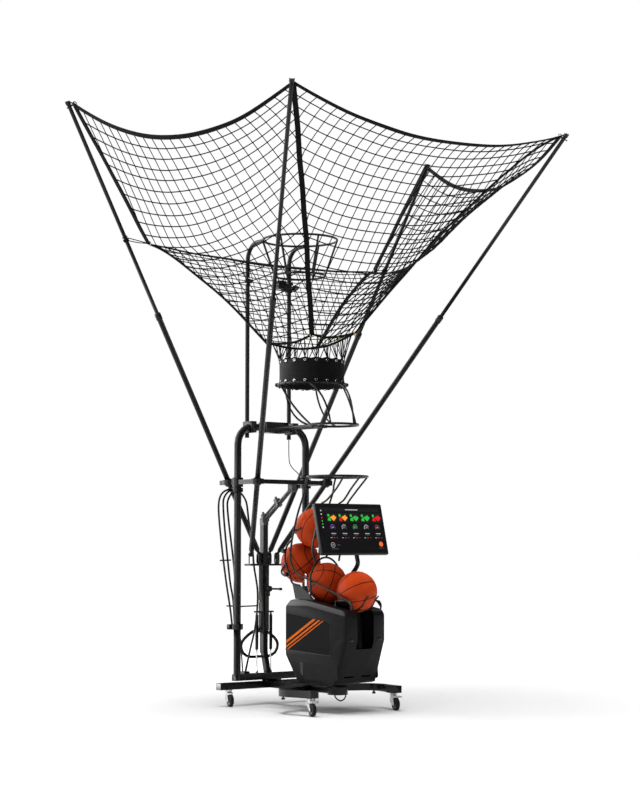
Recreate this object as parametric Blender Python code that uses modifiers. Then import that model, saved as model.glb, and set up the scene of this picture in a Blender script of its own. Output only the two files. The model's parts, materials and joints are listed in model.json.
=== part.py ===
# Basketball shooting machine: a wheeled base with an upright hoop-shaped frame, four long poles
# that spread a net funnel, a shot counter, wire ball chutes and a launcher on a turntable.
# +X is the throwing direction, +Y is to the left of it, +Z is up. Lengths are in metres.

import bpy
import bmesh
from math import acos, atan2, cos, hypot, pi, radians, sin, sqrt
from mathutils import Matrix, Vector

# Shared clearances and tube finish
SEAT_GAP = 0.0003
OVERLAP = 0.004
MERGE_DISTANCE = 0.00005
ROUND_STEPS = 16

# Wheeled base
BAR_BOTTOM = 0.102
BAR_HEIGHT = 0.040
REAR_BAR_X = -0.7152
REAR_BAR_LENGTH = 0.780
REAR_BAR_DEPTH = 0.052
SPINE_WIDTH = 0.076
LEG_WIDTH = 0.050
LEG_START_X = -0.3122
LEG_BEND_X = -0.1422
LEG_BEND_Y = 0.374
LEG_BEND_RADIUS = 0.110
LEG_OVERHANG = 0.036
END_BLOCK = 0.060
LEVEL_SCREW_RADIUS = 0.006
LEVEL_SCREW_LENGTH = 0.014
LEVEL_KNOB_RADIUS = 0.011

# Casters
FRONT_CASTER_X = 0.0878
CASTER_Y = 0.314
WHEEL_RADIUS = 0.0375
WHEEL_WIDTH = 0.024
WHEEL_TRAIL = 0.028
CASTER_ANGLE = radians(-15)
AXLE_RADIUS = 0.004
FORK_SPREAD = 0.0168
FORK_PLATE = 0.0026
SWIVEL_RADIUS = 0.023
BRIDGE_HEIGHT = 0.0815
PEDAL_LENGTH = 0.046
PEDAL_WIDTH = 0.026
PEDAL_PIN_RADIUS = 0.002

# Upright frame
UPRIGHT_X = -0.6997
UPRIGHT_HALF_WIDTH = 0.264
UPRIGHT_TOP = 1.704
UPRIGHT_TUBE_RADIUS = 0.0225
UPRIGHT_BEND_RADIUS = 0.110
FOOT_BAR_BOTTOM = 0.153
FOOT_BAR_HEIGHT = 0.040
FOOT_BAR_DEPTH = 0.040
FOOT_PAD_LENGTH = 0.120

# Net lift: fixed square post, sliding sleeve, hub and gas springs
MAST_X = -0.7822
POST_WIDTH = 0.036
POST_BOTTOM = 0.310
POST_TOP = 1.100
LEAN_FOOT_X = -0.7422
SLEEVE_WIDTH = 0.046
SLEEVE_BOTTOM = 0.446
HUB_PLATE_TOP = 0.860
HUB_PLATE_THICKNESS = 0.012
HUB_PLATE_DEPTH = 0.064
HUB_PLATE_LENGTH = 0.256
PIVOT_HEIGHT = 0.917
REAR_PIVOT_Y = 0.036
FRONT_PIVOT_Y = 0.100
PIVOT_PIN_RADIUS = 0.006
TINE_THICKNESS = 0.005
TINE_RADIUS = 0.013
EYE_WIDTH = 0.018
EYE_RADIUS = 0.0135
LIFT_TRAVEL = 0.120
GAS_SPRING_Y = 0.054
GAS_CYLINDER_RADIUS = 0.010
GAS_CYLINDER_BOTTOM = 0.330
GAS_ROD_RADIUS = 0.004
GAS_BORE_RADIUS = 0.005
ROD_ENGAGEMENT = 0.015
CROSS_PLATE_BOTTOM = 0.558
CROSS_PLATE_THICKNESS = 0.010
FOOT_BRACKET_BOTTOM = 0.180
FOOT_BRACKET_THICKNESS = 0.006
HANDLE_X = -0.8282
HANDLE_WIDTH = 0.285
HANDLE_TOP = 0.455
HANDLE_BOTTOM = 0.275
HANDLE_TUBE_RADIUS = 0.0095
LOCK_HEIGHT = 0.706
LOCK_SCREW_RADIUS = 0.006
LOCK_SCREW_LENGTH = 0.155
LOCK_DISC_RADIUS = 0.018

# Poles and their guides
REAR_TOP_X = -0.8197
FRONT_TOP_X = 0.8553
REAR_TOP_Y = 1.426
FRONT_TOP_Y = 1.042
REAR_TOP_Z = 3.582
FRONT_TOP_Z = 3.438
POLE_RADIUS = 0.0165
UPPER_POLE_RADIUS = 0.0120
POLE_STEP_HEIGHT = 2.370
POLE_CAP_RADIUS = 0.0155
BEAM_HEIGHT = 1.360
BEAM_SECTION = 0.028
BEAM_OVERHANG = 0.080
SOCKET_RADIUS = 0.040
SOCKET_HALF_HEIGHT = 0.016
BUSH_RADIUS = 0.030
BUSH_HALF_HEIGHT = 0.018
BUSH_BORE_RADIUS = 0.0200
BUSH_CLEARANCE = 0.0016
LEG_COLLAR_RADIUS = 0.034
LEG_COLLAR_HEIGHT = 0.056
COLLAR_WEB_WIDTH = 0.050

# Wire guard
GUARD_TOP_GAP = 0.006
GUARD_CLAMP_HEIGHT = 0.026

# Diagonal strut
STRUT_RADIUS = 0.014
STRUT_SLEEVE_RADIUS = 0.009
STRUT_CLAMP = 0.044

# Shot counter
COUNTER_X = -0.4197
COUNTER_TOP_Z = 2.851
COUNTER_TOP_RADIUS = 0.2305
COUNTER_LOW_Z = 2.628
COUNTER_LOW_RADIUS = 0.154
COUNTER_WIRE_RADIUS = 0.006
COUNTER_BARS = 7
GOOSENECK_X = -0.7422
GOOSENECK_Y = 0.163
GOOSENECK_RADIUS = 0.012
GOOSENECK_BOTTOM = 1.640
FOLD_AXIS_Z = 2.620
FOLD_EYE_RADIUS = 0.016
FOLD_EYE_WIDTH = 0.012
FOLD_PIN_RADIUS = 0.004
SENSOR_BOX_SIZE = (0.040, 0.070, 0.046)

# Net funnel
NECK_HALF_WIDTH = 0.186
NECK_X = -0.3012
NECK_Z = 2.205
REAR_TIE_Y = 0.880
REAR_TIE_X = -0.7657
REAR_TIE_Z = 2.783
NET_CORD_THICKNESS = 0.006
NET_ROWS = 7
NET_TIE_ROW = 3
NET_COLUMNS = 7
NET_PULL_IN = 0.065
NET_DROP = 0.030
PEG_RADIUS = 0.004
SIDE_SAG = 0.270
FRONT_SAG = 0.180
REAR_SAG = 0.160
REAR_EDGE_BOW = 0.075
HORN_POWER = 1.300

# Collar and upper chute
COLLAR_X = -0.3012
COLLAR_RADIUS = 0.1975
COLLAR_WALL = 0.0025
COLLAR_BOTTOM = 1.930
COLLAR_TOP = 2.098
HOOP_Z = 1.945
CHUTE_WIRE_RADIUS = 0.006
CHUTE_RING_X = -0.0902
CHUTE_RING_Z = 1.691
CHUTE_RING_RADIUS = 0.1486
CHUTE_RODS = 6
CHUTE_ROD_BOW = 0.75

# Launcher, in its own axes: forward, left and up from the foot of the turntable axis
TURN_AXIS_X = -0.0537
LAUNCHER_YAW = radians(10)
TURNTABLE_RADIUS = 0.055
TURNTABLE_TOP = 0.1600
KINGPIN_RADIUS = 0.012
KINGPIN_TOP = 0.180
TURN_PLATE_RADIUS = 0.100
TURN_PLATE_THICKNESS = 0.008
HOUSING_BOTTOM = 0.1686
HOUSING_REAR = -0.259
HOUSING_FRONT = 0.218
HOUSING_HALF_WIDTH = 0.180
HOUSING_TOP = 0.655
HOUSING_WALL = 0.004
HOUSING_EDGE = 0.016
DECK_SLOPE_START = -0.080
DECK_FRONT_Z = 0.600
DECK_OPENING_HALF_WIDTH = 0.108
DECK_OPENING_REAR = -0.216
SLOT_HALF_WIDTH = 0.074
SLOT_BOTTOM = 0.370
PANEL_THICKNESS = 0.0022
PANEL_RECESS = 0.0030

# Balls and their path down the tower
BALL_RADIUS = 0.1195
BALL_WALL = 0.0035
VALVE_RADIUS = 0.003
BALL_SPACING = 2 * BALL_RADIUS + SEAT_GAP
QUEUE_FORWARD = -0.083
QUEUE_HEIGHT = 0.752
THROW_SLOPE = radians(-12)
TURN_SLOPE = radians(151)
DROP_SLOPE = radians(61)
TOWER_RING_Z = 1.380
TOWER_RING_RADIUS = 0.180
TOWER_WIRE_RADIUS = 0.0052
PATH_CLEARANCE = 0.0056

# Throwing arm
SHAFT_FORWARD = 0.157
SHAFT_HEIGHT = 0.330
SHAFT_RADIUS = 0.010
SHAFT_LENGTH = 0.150
ARM_HUB_RADIUS = 0.022
ARM_WIDTH = 0.044
PRONG_RADIUS = 0.005
PRONG_SPREAD = 0.046
CHASSIS_HALF_WIDTH = 0.060
CHASSIS_PLATE = 0.005

# Display
DISPLAY_WIDTH = 0.510
DISPLAY_HEIGHT = 0.310
DISPLAY_DEPTH = 0.030
DISPLAY_TILT = radians(14)
DISPLAY_CENTRE = (0.0338, 0.030, 1.067)
SCREEN_WIDTH = 0.478
SCREEN_HEIGHT = 0.272
SCREEN_THICKNESS = 0.002
DISPLAY_TUBE_RADIUS = 0.015
DISPLAY_HINGE_Y = 0.100
DISPLAY_HINGE_BACK = 0.048
DISPLAY_BARREL_RADIUS = 0.014
DISPLAY_PIN_RADIUS = 0.005
LUG_THICKNESS = 0.006

parts = bpy.data.collections.new("basketball_shooting_machine")


def clear_scene():
    for old in list(bpy.data.objects):
        bpy.data.objects.remove(old, do_unlink=True)
    bpy.context.scene.collection.children.link(parts)


def make_material(name, colour, roughness, metallic):
    material = bpy.data.materials.new(name)
    material.use_nodes = True
    shader = material.node_tree.nodes["Principled BSDF"]
    shader.inputs["Base Color"].default_value = (*colour, 1.0)
    shader.inputs["Roughness"].default_value = roughness
    shader.inputs["Metallic"].default_value = metallic
    return material


black_paint = make_material("black_powder_coat", (0.025, 0.025, 0.027), 0.42, 0.0)
zinc = make_material("zinc_plate", (0.62, 0.63, 0.64), 0.32, 1.0)
steel = make_material("bright_steel", (0.70, 0.70, 0.72), 0.22, 1.0)
rubber = make_material("black_rubber", (0.015, 0.015, 0.016), 0.70, 0.0)
plastic = make_material("charcoal_plastic", (0.045, 0.046, 0.050), 0.55, 0.0)
vinyl = make_material("black_vinyl", (0.020, 0.020, 0.022), 0.50, 0.0)
netting = make_material("net_cord", (0.012, 0.012, 0.013), 0.85, 0.0)
ball_rubber = make_material("orange_ball", (0.75, 0.16, 0.035), 0.62, 0.0)
glass = make_material("screen_glass", (0.010, 0.011, 0.013), 0.10, 0.0)
bush_plastic = make_material("bush_nylon", (0.030, 0.030, 0.030), 0.40, 0.0)


# Building blocks

def add_object(name, mesh, material, collection=parts):
    obj = bpy.data.objects.new(name, mesh)
    mesh.materials.clear()
    mesh.materials.append(material)
    collection.objects.link(obj)
    return obj


def mesh_from(bm, name):
    bmesh.ops.recalc_face_normals(bm, faces=bm.faces)
    mesh = bpy.data.meshes.new(name)
    bm.to_mesh(mesh)
    bm.free()
    return mesh


def box(name, low, high, material=black_paint):
    bm = bmesh.new()
    bmesh.ops.create_cube(bm, size=1.0)
    size = Vector(high) - Vector(low)
    middle = (Vector(high) + Vector(low)) / 2
    bmesh.ops.transform(bm, matrix=Matrix.Translation(middle) @ Matrix.Diagonal((*size, 1.0)),
                        verts=bm.verts)
    return add_object(name, mesh_from(bm, name), material)


def axis_matrix(start, end, side=None):
    # local Z runs from start to end, and local Y leans to the side vector
    along = (Vector(end) - Vector(start)).normalized()
    level = Vector((0, 1, 0)) if abs(along.y) < 0.9 else Vector((1, 0, 0))
    hint = Vector(side) if side is not None else level
    across = hint.cross(along).normalized()
    left = along.cross(across)
    turn = Matrix((across, left, along)).transposed().to_4x4()
    return Matrix.Translation(Vector(start)) @ turn


def rod(name, start, end, radius, material=black_paint, end_radius=None, steps=ROUND_STEPS):
    length = (Vector(end) - Vector(start)).length
    bm = bmesh.new()
    bmesh.ops.create_cone(bm, cap_ends=True, segments=steps, radius1=radius,
                          radius2=end_radius if end_radius else radius, depth=length)
    place = axis_matrix(start, end) @ Matrix.Translation((0, 0, length / 2))
    bmesh.ops.transform(bm, matrix=place, verts=bm.verts)
    return add_object(name, mesh_from(bm, name), material)


def bar(name, start, end, width, depth, material=black_paint, side=(0, 1, 0)):
    # rectangular bar between two points; width runs along the side vector
    length = (Vector(end) - Vector(start)).length
    bm = bmesh.new()
    bmesh.ops.create_cube(bm, size=1.0)
    place = axis_matrix(start, end, side) @ Matrix.Translation((0, 0, length / 2))
    bmesh.ops.transform(bm, matrix=place @ Matrix.Diagonal((depth, width, length, 1.0)), verts=bm.verts)
    return add_object(name, mesh_from(bm, name), material)


def ball(name, centre, radius, material, steps=16):
    bm = bmesh.new()
    bmesh.ops.create_uvsphere(bm, u_segments=steps, v_segments=steps // 2 + 2, radius=radius)
    bmesh.ops.translate(bm, vec=centre, verts=bm.verts)
    return add_object(name, mesh_from(bm, name), material)


def wire(name, points, radius, material=black_paint, closed=False, resolution=0):
    curve = bpy.data.curves.new(name, "CURVE")
    curve.dimensions = "3D"
    curve.bevel_depth = radius
    curve.bevel_resolution = resolution
    curve.use_fill_caps = not closed
    curve.render_resolution_u = 0
    spline = curve.splines.new("POLY")
    spline.points.add(len(points) - 1)
    for point, place in zip(spline.points, points):
        point.co = (*place, 1.0)
    spline.use_cyclic_u = closed
    curve.materials.append(material)
    obj = bpy.data.objects.new(name, curve)
    parts.objects.link(obj)
    return obj


def plate(name, outline, thickness, place, material=black_paint):
    # flat outline in local XY, extruded evenly about local Z = 0
    curve = bpy.data.curves.new(name, "CURVE")
    curve.dimensions = "2D"
    curve.fill_mode = "BOTH"
    curve.extrude = thickness / 2
    curve.render_resolution_u = 0
    spline = curve.splines.new("POLY")
    spline.points.add(len(outline) - 1)
    for point, (x, y) in zip(spline.points, outline):
        point.co = (x, y, 0.0, 1.0)
    spline.use_cyclic_u = True
    curve.materials.append(material)
    obj = bpy.data.objects.new(name, curve)
    obj.matrix_world = place
    parts.objects.link(obj)
    return obj


def turned(name, profile, place, material=black_paint, steps=ROUND_STEPS):
    # profile of (radius, height) pairs, turned about local Z
    mesh = bpy.data.meshes.new(name)
    bm = bmesh.new()
    verts = [bm.verts.new((radius, 0, height)) for radius, height in profile]
    closed = profile[0][0] > 0
    count = len(verts) if closed else len(verts) - 1
    for i in range(count):
        bm.edges.new((verts[i], verts[(i + 1) % len(verts)]))
    bm.to_mesh(mesh)
    bm.free()
    obj = add_object(name, mesh, material)
    screw = obj.modifiers.new("turn", "SCREW")
    screw.axis = "Z"
    screw.steps = steps
    screw.render_steps = steps
    screw.use_merge_vertices = True
    screw.merge_threshold = MERGE_DISTANCE
    obj.matrix_world = place
    return obj


def to_mesh(obj):
    # evaluated copy as a plain mesh object in world space, with loose caps welded
    bpy.context.view_layer.update()
    source = obj.evaluated_get(bpy.context.evaluated_depsgraph_get())
    mesh = bpy.data.meshes.new_from_object(source)
    mesh.transform(obj.matrix_world)
    bm = bmesh.new()
    bm.from_mesh(mesh)
    bmesh.ops.remove_doubles(bm, verts=bm.verts, dist=MERGE_DISTANCE / 5)
    if obj.type == "CURVE" or "turn" in obj.modifiers:
        bmesh.ops.remove_doubles(bm, verts=bm.verts, dist=MERGE_DISTANCE)
        bmesh.ops.recalc_face_normals(bm, faces=bm.faces)
    bm.to_mesh(mesh)
    bm.free()
    name = obj.name
    material = obj.data.materials[0]
    bpy.data.objects.remove(obj, do_unlink=True)
    return add_object(name, mesh, material)


def combine(base, others, operation):
    # Boolean of the base with each other piece, applied one after another
    base = to_mesh(base)
    for other in others:
        other = to_mesh(other)
        change = base.modifiers.new(operation, "BOOLEAN")
        change.operation = operation
        change.solver = "EXACT"
        change.object = other
        base = to_mesh(base)
        bpy.data.objects.remove(other, do_unlink=True)
    return base


def join(name, pieces, material=None):
    result = combine(pieces[0], pieces[1:], "UNION")
    result.name = name
    result.data.name = name
    if material:
        result.data.materials[0] = material
    return result


def cut(base, tools):
    name = base.name
    result = combine(base, tools, "DIFFERENCE")
    result.name = name
    return result


def smooth(obj, angle=radians(35)):
    mesh = obj.data
    mesh.shade_smooth()
    mesh.set_sharp_from_angle(angle=angle)
    return obj


def circle(centre, radius, count, start=0.0):
    return [(centre[0] + radius * cos(start + 2 * pi * i / count),
             centre[1] + radius * sin(start + 2 * pi * i / count), centre[2]) for i in range(count)]


def ring(name, centre, radius, wire_radius, count=24, material=black_paint):
    return wire(name, circle(centre, radius, count), wire_radius, material, closed=True, resolution=1)


def rounded(corners, radius, steps=6):
    # open path through the corners with each inner corner rounded by an arc
    path = [Vector(corners[0])]
    for before, corner, after in zip(corners, corners[1:], corners[2:]):
        corner = Vector(corner)
        back = (Vector(before) - corner).normalized()
        ahead = (Vector(after) - corner).normalized()
        half = acos(max(-1.0, min(1.0, back.dot(ahead)))) / 2
        reach = radius / (sin(half) / cos(half))
        centre = corner + (back + ahead).normalized() * (radius / sin(half))
        first = corner + back * reach - centre
        last = corner + ahead * reach - centre
        for i in range(steps + 1):
            path.append(centre + first.normalized().slerp(last.normalized(), i / steps) * radius)
    path.append(Vector(corners[-1]))
    return path


def through(points, per_span=5):
    # smooth curve through a list of points (Catmull-Rom)
    points = [Vector(p) for p in points]
    ends = [points[0] * 2 - points[1]] + points + [points[-1] * 2 - points[-2]]
    result = []
    for a, b, c, d in zip(ends, ends[1:], ends[2:], ends[3:]):
        for i in range(per_span):
            t = i / per_span
            result.append(0.5 * ((2 * b) + (c - a) * t + (2 * a - 5 * b + 4 * c - d) * t * t
                                 + (3 * b - a - 3 * c + d) * t ** 3))
    result.append(points[-1])
    return result


def band(path, width):
    # outline of a flat strip that follows a plan path
    left, right = [], []
    for i, point in enumerate(path):
        before = path[max(i - 1, 0)]
        after = path[min(i + 1, len(path) - 1)]
        along = (after - before).normalized()
        side = Vector((-along.y, along.x)) * (width / 2)
        left.append((point.x + side.x, point.y + side.y))
        right.append((point.x - side.x, point.y - side.y))
    return left + right[::-1]


def link_outline(big, big_radius, small, small_radius, steps=3):
    # outline of a tapered link: two round ends joined by their tangents
    away = atan2(small[1] - big[1], small[0] - big[0])
    lean = acos((big_radius - small_radius) / hypot(small[0] - big[0], small[1] - big[1]))
    outline = []
    for i in range(steps + 1):
        turn = away - lean + 2 * lean * i / steps
        outline.append((small[0] + small_radius * cos(turn), small[1] + small_radius * sin(turn)))
    for i in range(steps + 1):
        turn = away + lean + (2 * pi - 2 * lean) * i / steps
        outline.append((big[0] + big_radius * cos(turn), big[1] + big_radius * sin(turn)))
    return outline


def launcher_point(forward, left, up):
    return Vector((TURN_AXIS_X + forward * cos(LAUNCHER_YAW) - left * sin(LAUNCHER_YAW),
                   forward * sin(LAUNCHER_YAW) + left * cos(LAUNCHER_YAW), up))


def launcher_place():
    return Matrix.Translation((TURN_AXIS_X, 0, 0)) @ Matrix.Rotation(LAUNCHER_YAW, 4, "Z")


def side_view_place(left):
    # a flat outline drawn as (forward, up) stands in the launcher at this distance to the left
    return launcher_place() @ Matrix.Translation((0, left, 0)) @ Matrix.Rotation(radians(90), 4, "X")


def to_launcher(obj):
    obj = to_mesh(obj)
    obj.data.transform(launcher_place())
    return obj


# Wheeled base

BAR_MIDDLE = BAR_BOTTOM + BAR_HEIGHT / 2
BAR_TOP = BAR_BOTTOM + BAR_HEIGHT


def front_leg(side):
    corners = [(LEG_START_X, 0, 0), (LEG_BEND_X, side * LEG_BEND_Y, 0),
               (FRONT_CASTER_X + LEG_OVERHANG, side * CASTER_Y, 0)]
    outline = band(rounded(corners, LEG_BEND_RADIUS), LEG_WIDTH)
    return plate("leg", outline, BAR_HEIGHT, Matrix.Translation((0, 0, BAR_MIDDLE)))


def level_screw(side):
    x, y = LEG_BEND_X + 0.012, side * (LEG_BEND_Y - 0.030)
    foot = BAR_BOTTOM - LEVEL_SCREW_LENGTH
    screw = rod("screw", (x, y, foot), (x, y, BAR_BOTTOM + OVERLAP), LEVEL_SCREW_RADIUS, steps=12)
    knob = rod("knob", (x, y, foot - 0.006), (x, y, foot + 0.004), LEVEL_KNOB_RADIUS, steps=12)
    return [screw, knob]


def base_frame():
    half = REAR_BAR_LENGTH / 2
    rear = box("rear", (REAR_BAR_X - REAR_BAR_DEPTH / 2, -half, BAR_BOTTOM),
               (REAR_BAR_X + REAR_BAR_DEPTH / 2, half, BAR_TOP))
    spine = box("spine", (REAR_BAR_X, -SPINE_WIDTH / 2, BAR_BOTTOM + 0.002),
                (TURN_AXIS_X, SPINE_WIDTH / 2, BAR_TOP - 0.002))
    seat = rod("seat", (TURN_AXIS_X, 0, BAR_BOTTOM - 0.004), (TURN_AXIS_X, 0, BAR_TOP),
               TURNTABLE_RADIUS + 0.006)
    pieces = [rear, spine, seat, front_leg(1), front_leg(-1)]
    for side in (1, -1):
        pieces.append(box("block", (FRONT_CASTER_X - END_BLOCK / 2, side * CASTER_Y - END_BLOCK / 2,
                                    BAR_BOTTOM - 0.0),
                          (FRONT_CASTER_X + END_BLOCK / 2 + 0.008, side * CASTER_Y + END_BLOCK / 2,
                           BAR_TOP + 0.002)))
        pieces += level_screw(side)
    return smooth(join("base_frame", pieces))


# Casters

def caster(name, x, y, braked):
    place = Matrix.Translation((x, y, 0)) @ Matrix.Rotation(CASTER_ANGLE, 4, "Z")
    axle_height = WHEEL_RADIUS
    pin_at = (WHEEL_TRAIL + 0.016, BRIDGE_HEIGHT + 0.002)
    head_top = BAR_BOTTOM - SEAT_GAP
    fork = [turned("head", [(0, head_top), (SWIVEL_RADIUS, head_top), (SWIVEL_RADIUS, head_top - 0.004),
                            (SWIVEL_RADIUS - 0.004, head_top - 0.012), (SWIVEL_RADIUS - 0.004,
                                                                        BRIDGE_HEIGHT),
                            (0, BRIDGE_HEIGHT)], Matrix.Identity(4), zinc, 12)]
    reach = FORK_SPREAD + FORK_PLATE / 2
    fork.append(box("bridge", (-0.020, -reach, BRIDGE_HEIGHT - 0.001),
                    (WHEEL_TRAIL + 0.004, reach, BRIDGE_HEIGHT + 0.003)))
    flat = Matrix.Rotation(radians(90), 4, "X")
    for side in (1, -1):
        outline = link_outline((0.002, BRIDGE_HEIGHT - 0.018), 0.0215, (WHEEL_TRAIL, axle_height), 0.0085)
        fork.append(plate("cheek", outline, FORK_PLATE,
                          Matrix.Translation((0, side * FORK_SPREAD, 0)) @ flat))
        if braked:
            ear = link_outline((WHEEL_TRAIL - 0.004, BRIDGE_HEIGHT - 0.004), 0.0075, pin_at, 0.0045, 2)
            fork.append(plate("ear", ear, FORK_PLATE - 0.0004,
                              Matrix.Translation((0, side * FORK_SPREAD, 0)) @ flat))
    fork.append(rod("axle", (WHEEL_TRAIL, -reach - 0.003, axle_height),
                    (WHEEL_TRAIL, reach + 0.003, axle_height),
                    AXLE_RADIUS, steps=8))
    if braked:
        fork.append(rod("pin", (pin_at[0], -reach, pin_at[1]), (pin_at[0], reach, pin_at[1]),
                        PEDAL_PIN_RADIUS, steps=8))
    body = join("caster_fork_" + name, fork, zinc)
    body.data.transform(place)
    smooth(body)
    wheel(name, place, axle_height)
    if braked:
        pedal(name, place, pin_at)


def wheel(name, place, axle_height):
    half, bore, hub = WHEEL_WIDTH / 2, AXLE_RADIUS + 0.0004, 0.009
    profile = [(WHEEL_RADIUS - 0.004, half), (WHEEL_RADIUS, half - 0.005), (WHEEL_RADIUS, 0.005 - half),
               (WHEEL_RADIUS - 0.004, -half), (hub, -half + 0.001), (bore, -half - 0.002), (bore,
                                                                                            half + 0.002),
               (hub, half - 0.001)]
    centre = Matrix.Translation((WHEEL_TRAIL, 0, axle_height)) @ Matrix.Rotation(radians(90), 4, "X")
    turned("caster_wheel_" + name, profile, place @ centre, rubber, 16)


def pedal(name, place, pin_at):
    inner = FORK_SPREAD - FORK_PLATE / 2 - 0.001
    barrel = rod("barrel", (pin_at[0], -inner, pin_at[1]), (pin_at[0], inner, pin_at[1]), 0.0046, steps=12)
    tread = bar("tread", (pin_at[0] + 0.002, 0, pin_at[1]),
                (pin_at[0] + PEDAL_LENGTH, 0, pin_at[1] + 0.004),
                PEDAL_WIDTH, 0.0035)
    lip = box("lip", (pin_at[0] + PEDAL_LENGTH - 0.006, -PEDAL_WIDTH / 2 + 0.002, pin_at[1] - 0.004),
              (pin_at[0] + PEDAL_LENGTH - 0.002, PEDAL_WIDTH / 2 - 0.002, pin_at[1] + 0.004))
    body = join("brake_pedal_" + name, [barrel, tread, lip], zinc)
    hole = rod("hole", (pin_at[0], -0.05, pin_at[1]), (pin_at[0], 0.05, pin_at[1]),
               PEDAL_PIN_RADIUS + 0.0004, steps=8)
    body = cut(body, [hole])
    body.data.transform(place)


# Upright frame

def upright_tube(radius):
    half, top = UPRIGHT_HALF_WIDTH, UPRIGHT_TOP
    corners = [(UPRIGHT_X, -half, FOOT_BAR_BOTTOM + 0.002), (UPRIGHT_X, -half, top), (UPRIGHT_X, half, top),
               (UPRIGHT_X, half, FOOT_BAR_BOTTOM + 0.002)]
    return wire("hoop", rounded(corners, UPRIGHT_BEND_RADIUS, 5), radius, resolution=4)


def upright_hole():
    # clears the upright tube for anything clamped round it
    return upright_tube(UPRIGHT_TUBE_RADIUS + 2 * SEAT_GAP)


def upright_frame():
    half = UPRIGHT_HALF_WIDTH
    hoop = upright_tube(UPRIGHT_TUBE_RADIUS)
    reach = half + UPRIGHT_TUBE_RADIUS + 0.002
    foot = box("foot", (UPRIGHT_X - FOOT_BAR_DEPTH / 2, -reach, FOOT_BAR_BOTTOM),
               (UPRIGHT_X + FOOT_BAR_DEPTH / 2, reach, FOOT_BAR_BOTTOM + FOOT_BAR_HEIGHT))
    pad = box("pad", (UPRIGHT_X - FOOT_BAR_DEPTH / 2 + 0.002, -FOOT_PAD_LENGTH / 2, BAR_TOP + SEAT_GAP),
              (UPRIGHT_X + FOOT_BAR_DEPTH / 2 - 0.002, FOOT_PAD_LENGTH / 2, FOOT_BAR_BOTTOM + OVERLAP))
    return smooth(join("upright_frame", [foot, hoop, pad]))


# Poles, guides and their shared geometry

def pole_ends(end, side):
    # pivot in the hub and tip of one pole; end is rear or front, side is 1 for left
    if end == "rear":
        return (Vector((MAST_X, side * REAR_PIVOT_Y, PIVOT_HEIGHT)),
                Vector((REAR_TOP_X, side * REAR_TOP_Y, REAR_TOP_Z)))
    return (Vector((MAST_X, side * FRONT_PIVOT_Y, PIVOT_HEIGHT)),
            Vector((FRONT_TOP_X, side * FRONT_TOP_Y, FRONT_TOP_Z)))


def pole_point(end, side, height):
    pivot, tip = pole_ends(end, side)
    return pivot.lerp(tip, (height - pivot.z) / (tip.z - pivot.z))


def pole_hinge_axis(end, side):
    pivot, tip = pole_ends(end, side)
    flat = Vector((tip.x - pivot.x, tip.y - pivot.y, 0)).normalized()
    return Vector((-flat.y, flat.x, 0))


POLES = [("rear", -1), ("front", -1), ("front", 1), ("rear", 1)]


def pole_name(end, side):
    return end + ("_left" if side > 0 else "_right")


def pole(end, side):
    pivot, tip = pole_ends(end, side)
    length = (tip - pivot).length
    step = (pole_point(end, side, POLE_STEP_HEIGHT) - pivot).length
    neck = EYE_RADIUS * 0.72
    profile = [(0, length), (POLE_CAP_RADIUS, length), (POLE_CAP_RADIUS, length - 0.024),
               (UPPER_POLE_RADIUS, length - 0.026), (UPPER_POLE_RADIUS, step + 0.004),
               (POLE_RADIUS + 0.003, step), (POLE_RADIUS + 0.003, step - 0.040),
               (POLE_RADIUS, step - 0.042), (POLE_RADIUS, 0.034),
               (neck, 0.022), (neck, 0.004), (0, 0.004)]
    place = axis_matrix(pivot, tip, pole_hinge_axis(end, side))
    shaft = turned("shaft", profile, place, black_paint, 10)
    axis = pole_hinge_axis(end, side)
    eye = rod("eye", pivot - axis * EYE_WIDTH / 2, pivot + axis * EYE_WIDTH / 2, EYE_RADIUS, steps=12)
    corner = net_corner(end, side)
    root = pole_point(end, side, corner.z + 0.010)
    peg = rod("peg", root, corner + (root - corner).normalized() * (NET_CORD_THICKNESS / 2 + SEAT_GAP / 2),
              PEG_RADIUS, steps=8)
    body = join("pole_" + pole_name(end, side), [shaft, eye, peg])
    hole = rod("hole", pivot - axis * 0.05, pivot + axis * 0.05, PIVOT_PIN_RADIUS + SEAT_GAP, steps=12)
    return smooth(cut(body, [hole]))


def guide_bush(end, side):
    steps = 4
    half_turn = acos(BUSH_HALF_HEIGHT / BUSH_RADIUS)
    profile = []
    for i in range(steps + 1):
        turn = half_turn + (pi - 2 * half_turn) * i / steps
        profile.append((BUSH_RADIUS * sin(turn), BUSH_RADIUS * cos(turn)))
    profile += [(BUSH_BORE_RADIUS, -BUSH_HALF_HEIGHT), (BUSH_BORE_RADIUS, BUSH_HALF_HEIGHT)]
    pivot, tip = pole_ends(end, side)
    centre = pole_point(end, side, BEAM_HEIGHT)
    place = axis_matrix(centre, centre + (tip - pivot), pole_hinge_axis(end, side))
    smooth(turned("guide_bush_" + pole_name(end, side), profile, place, bush_plastic))


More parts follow.
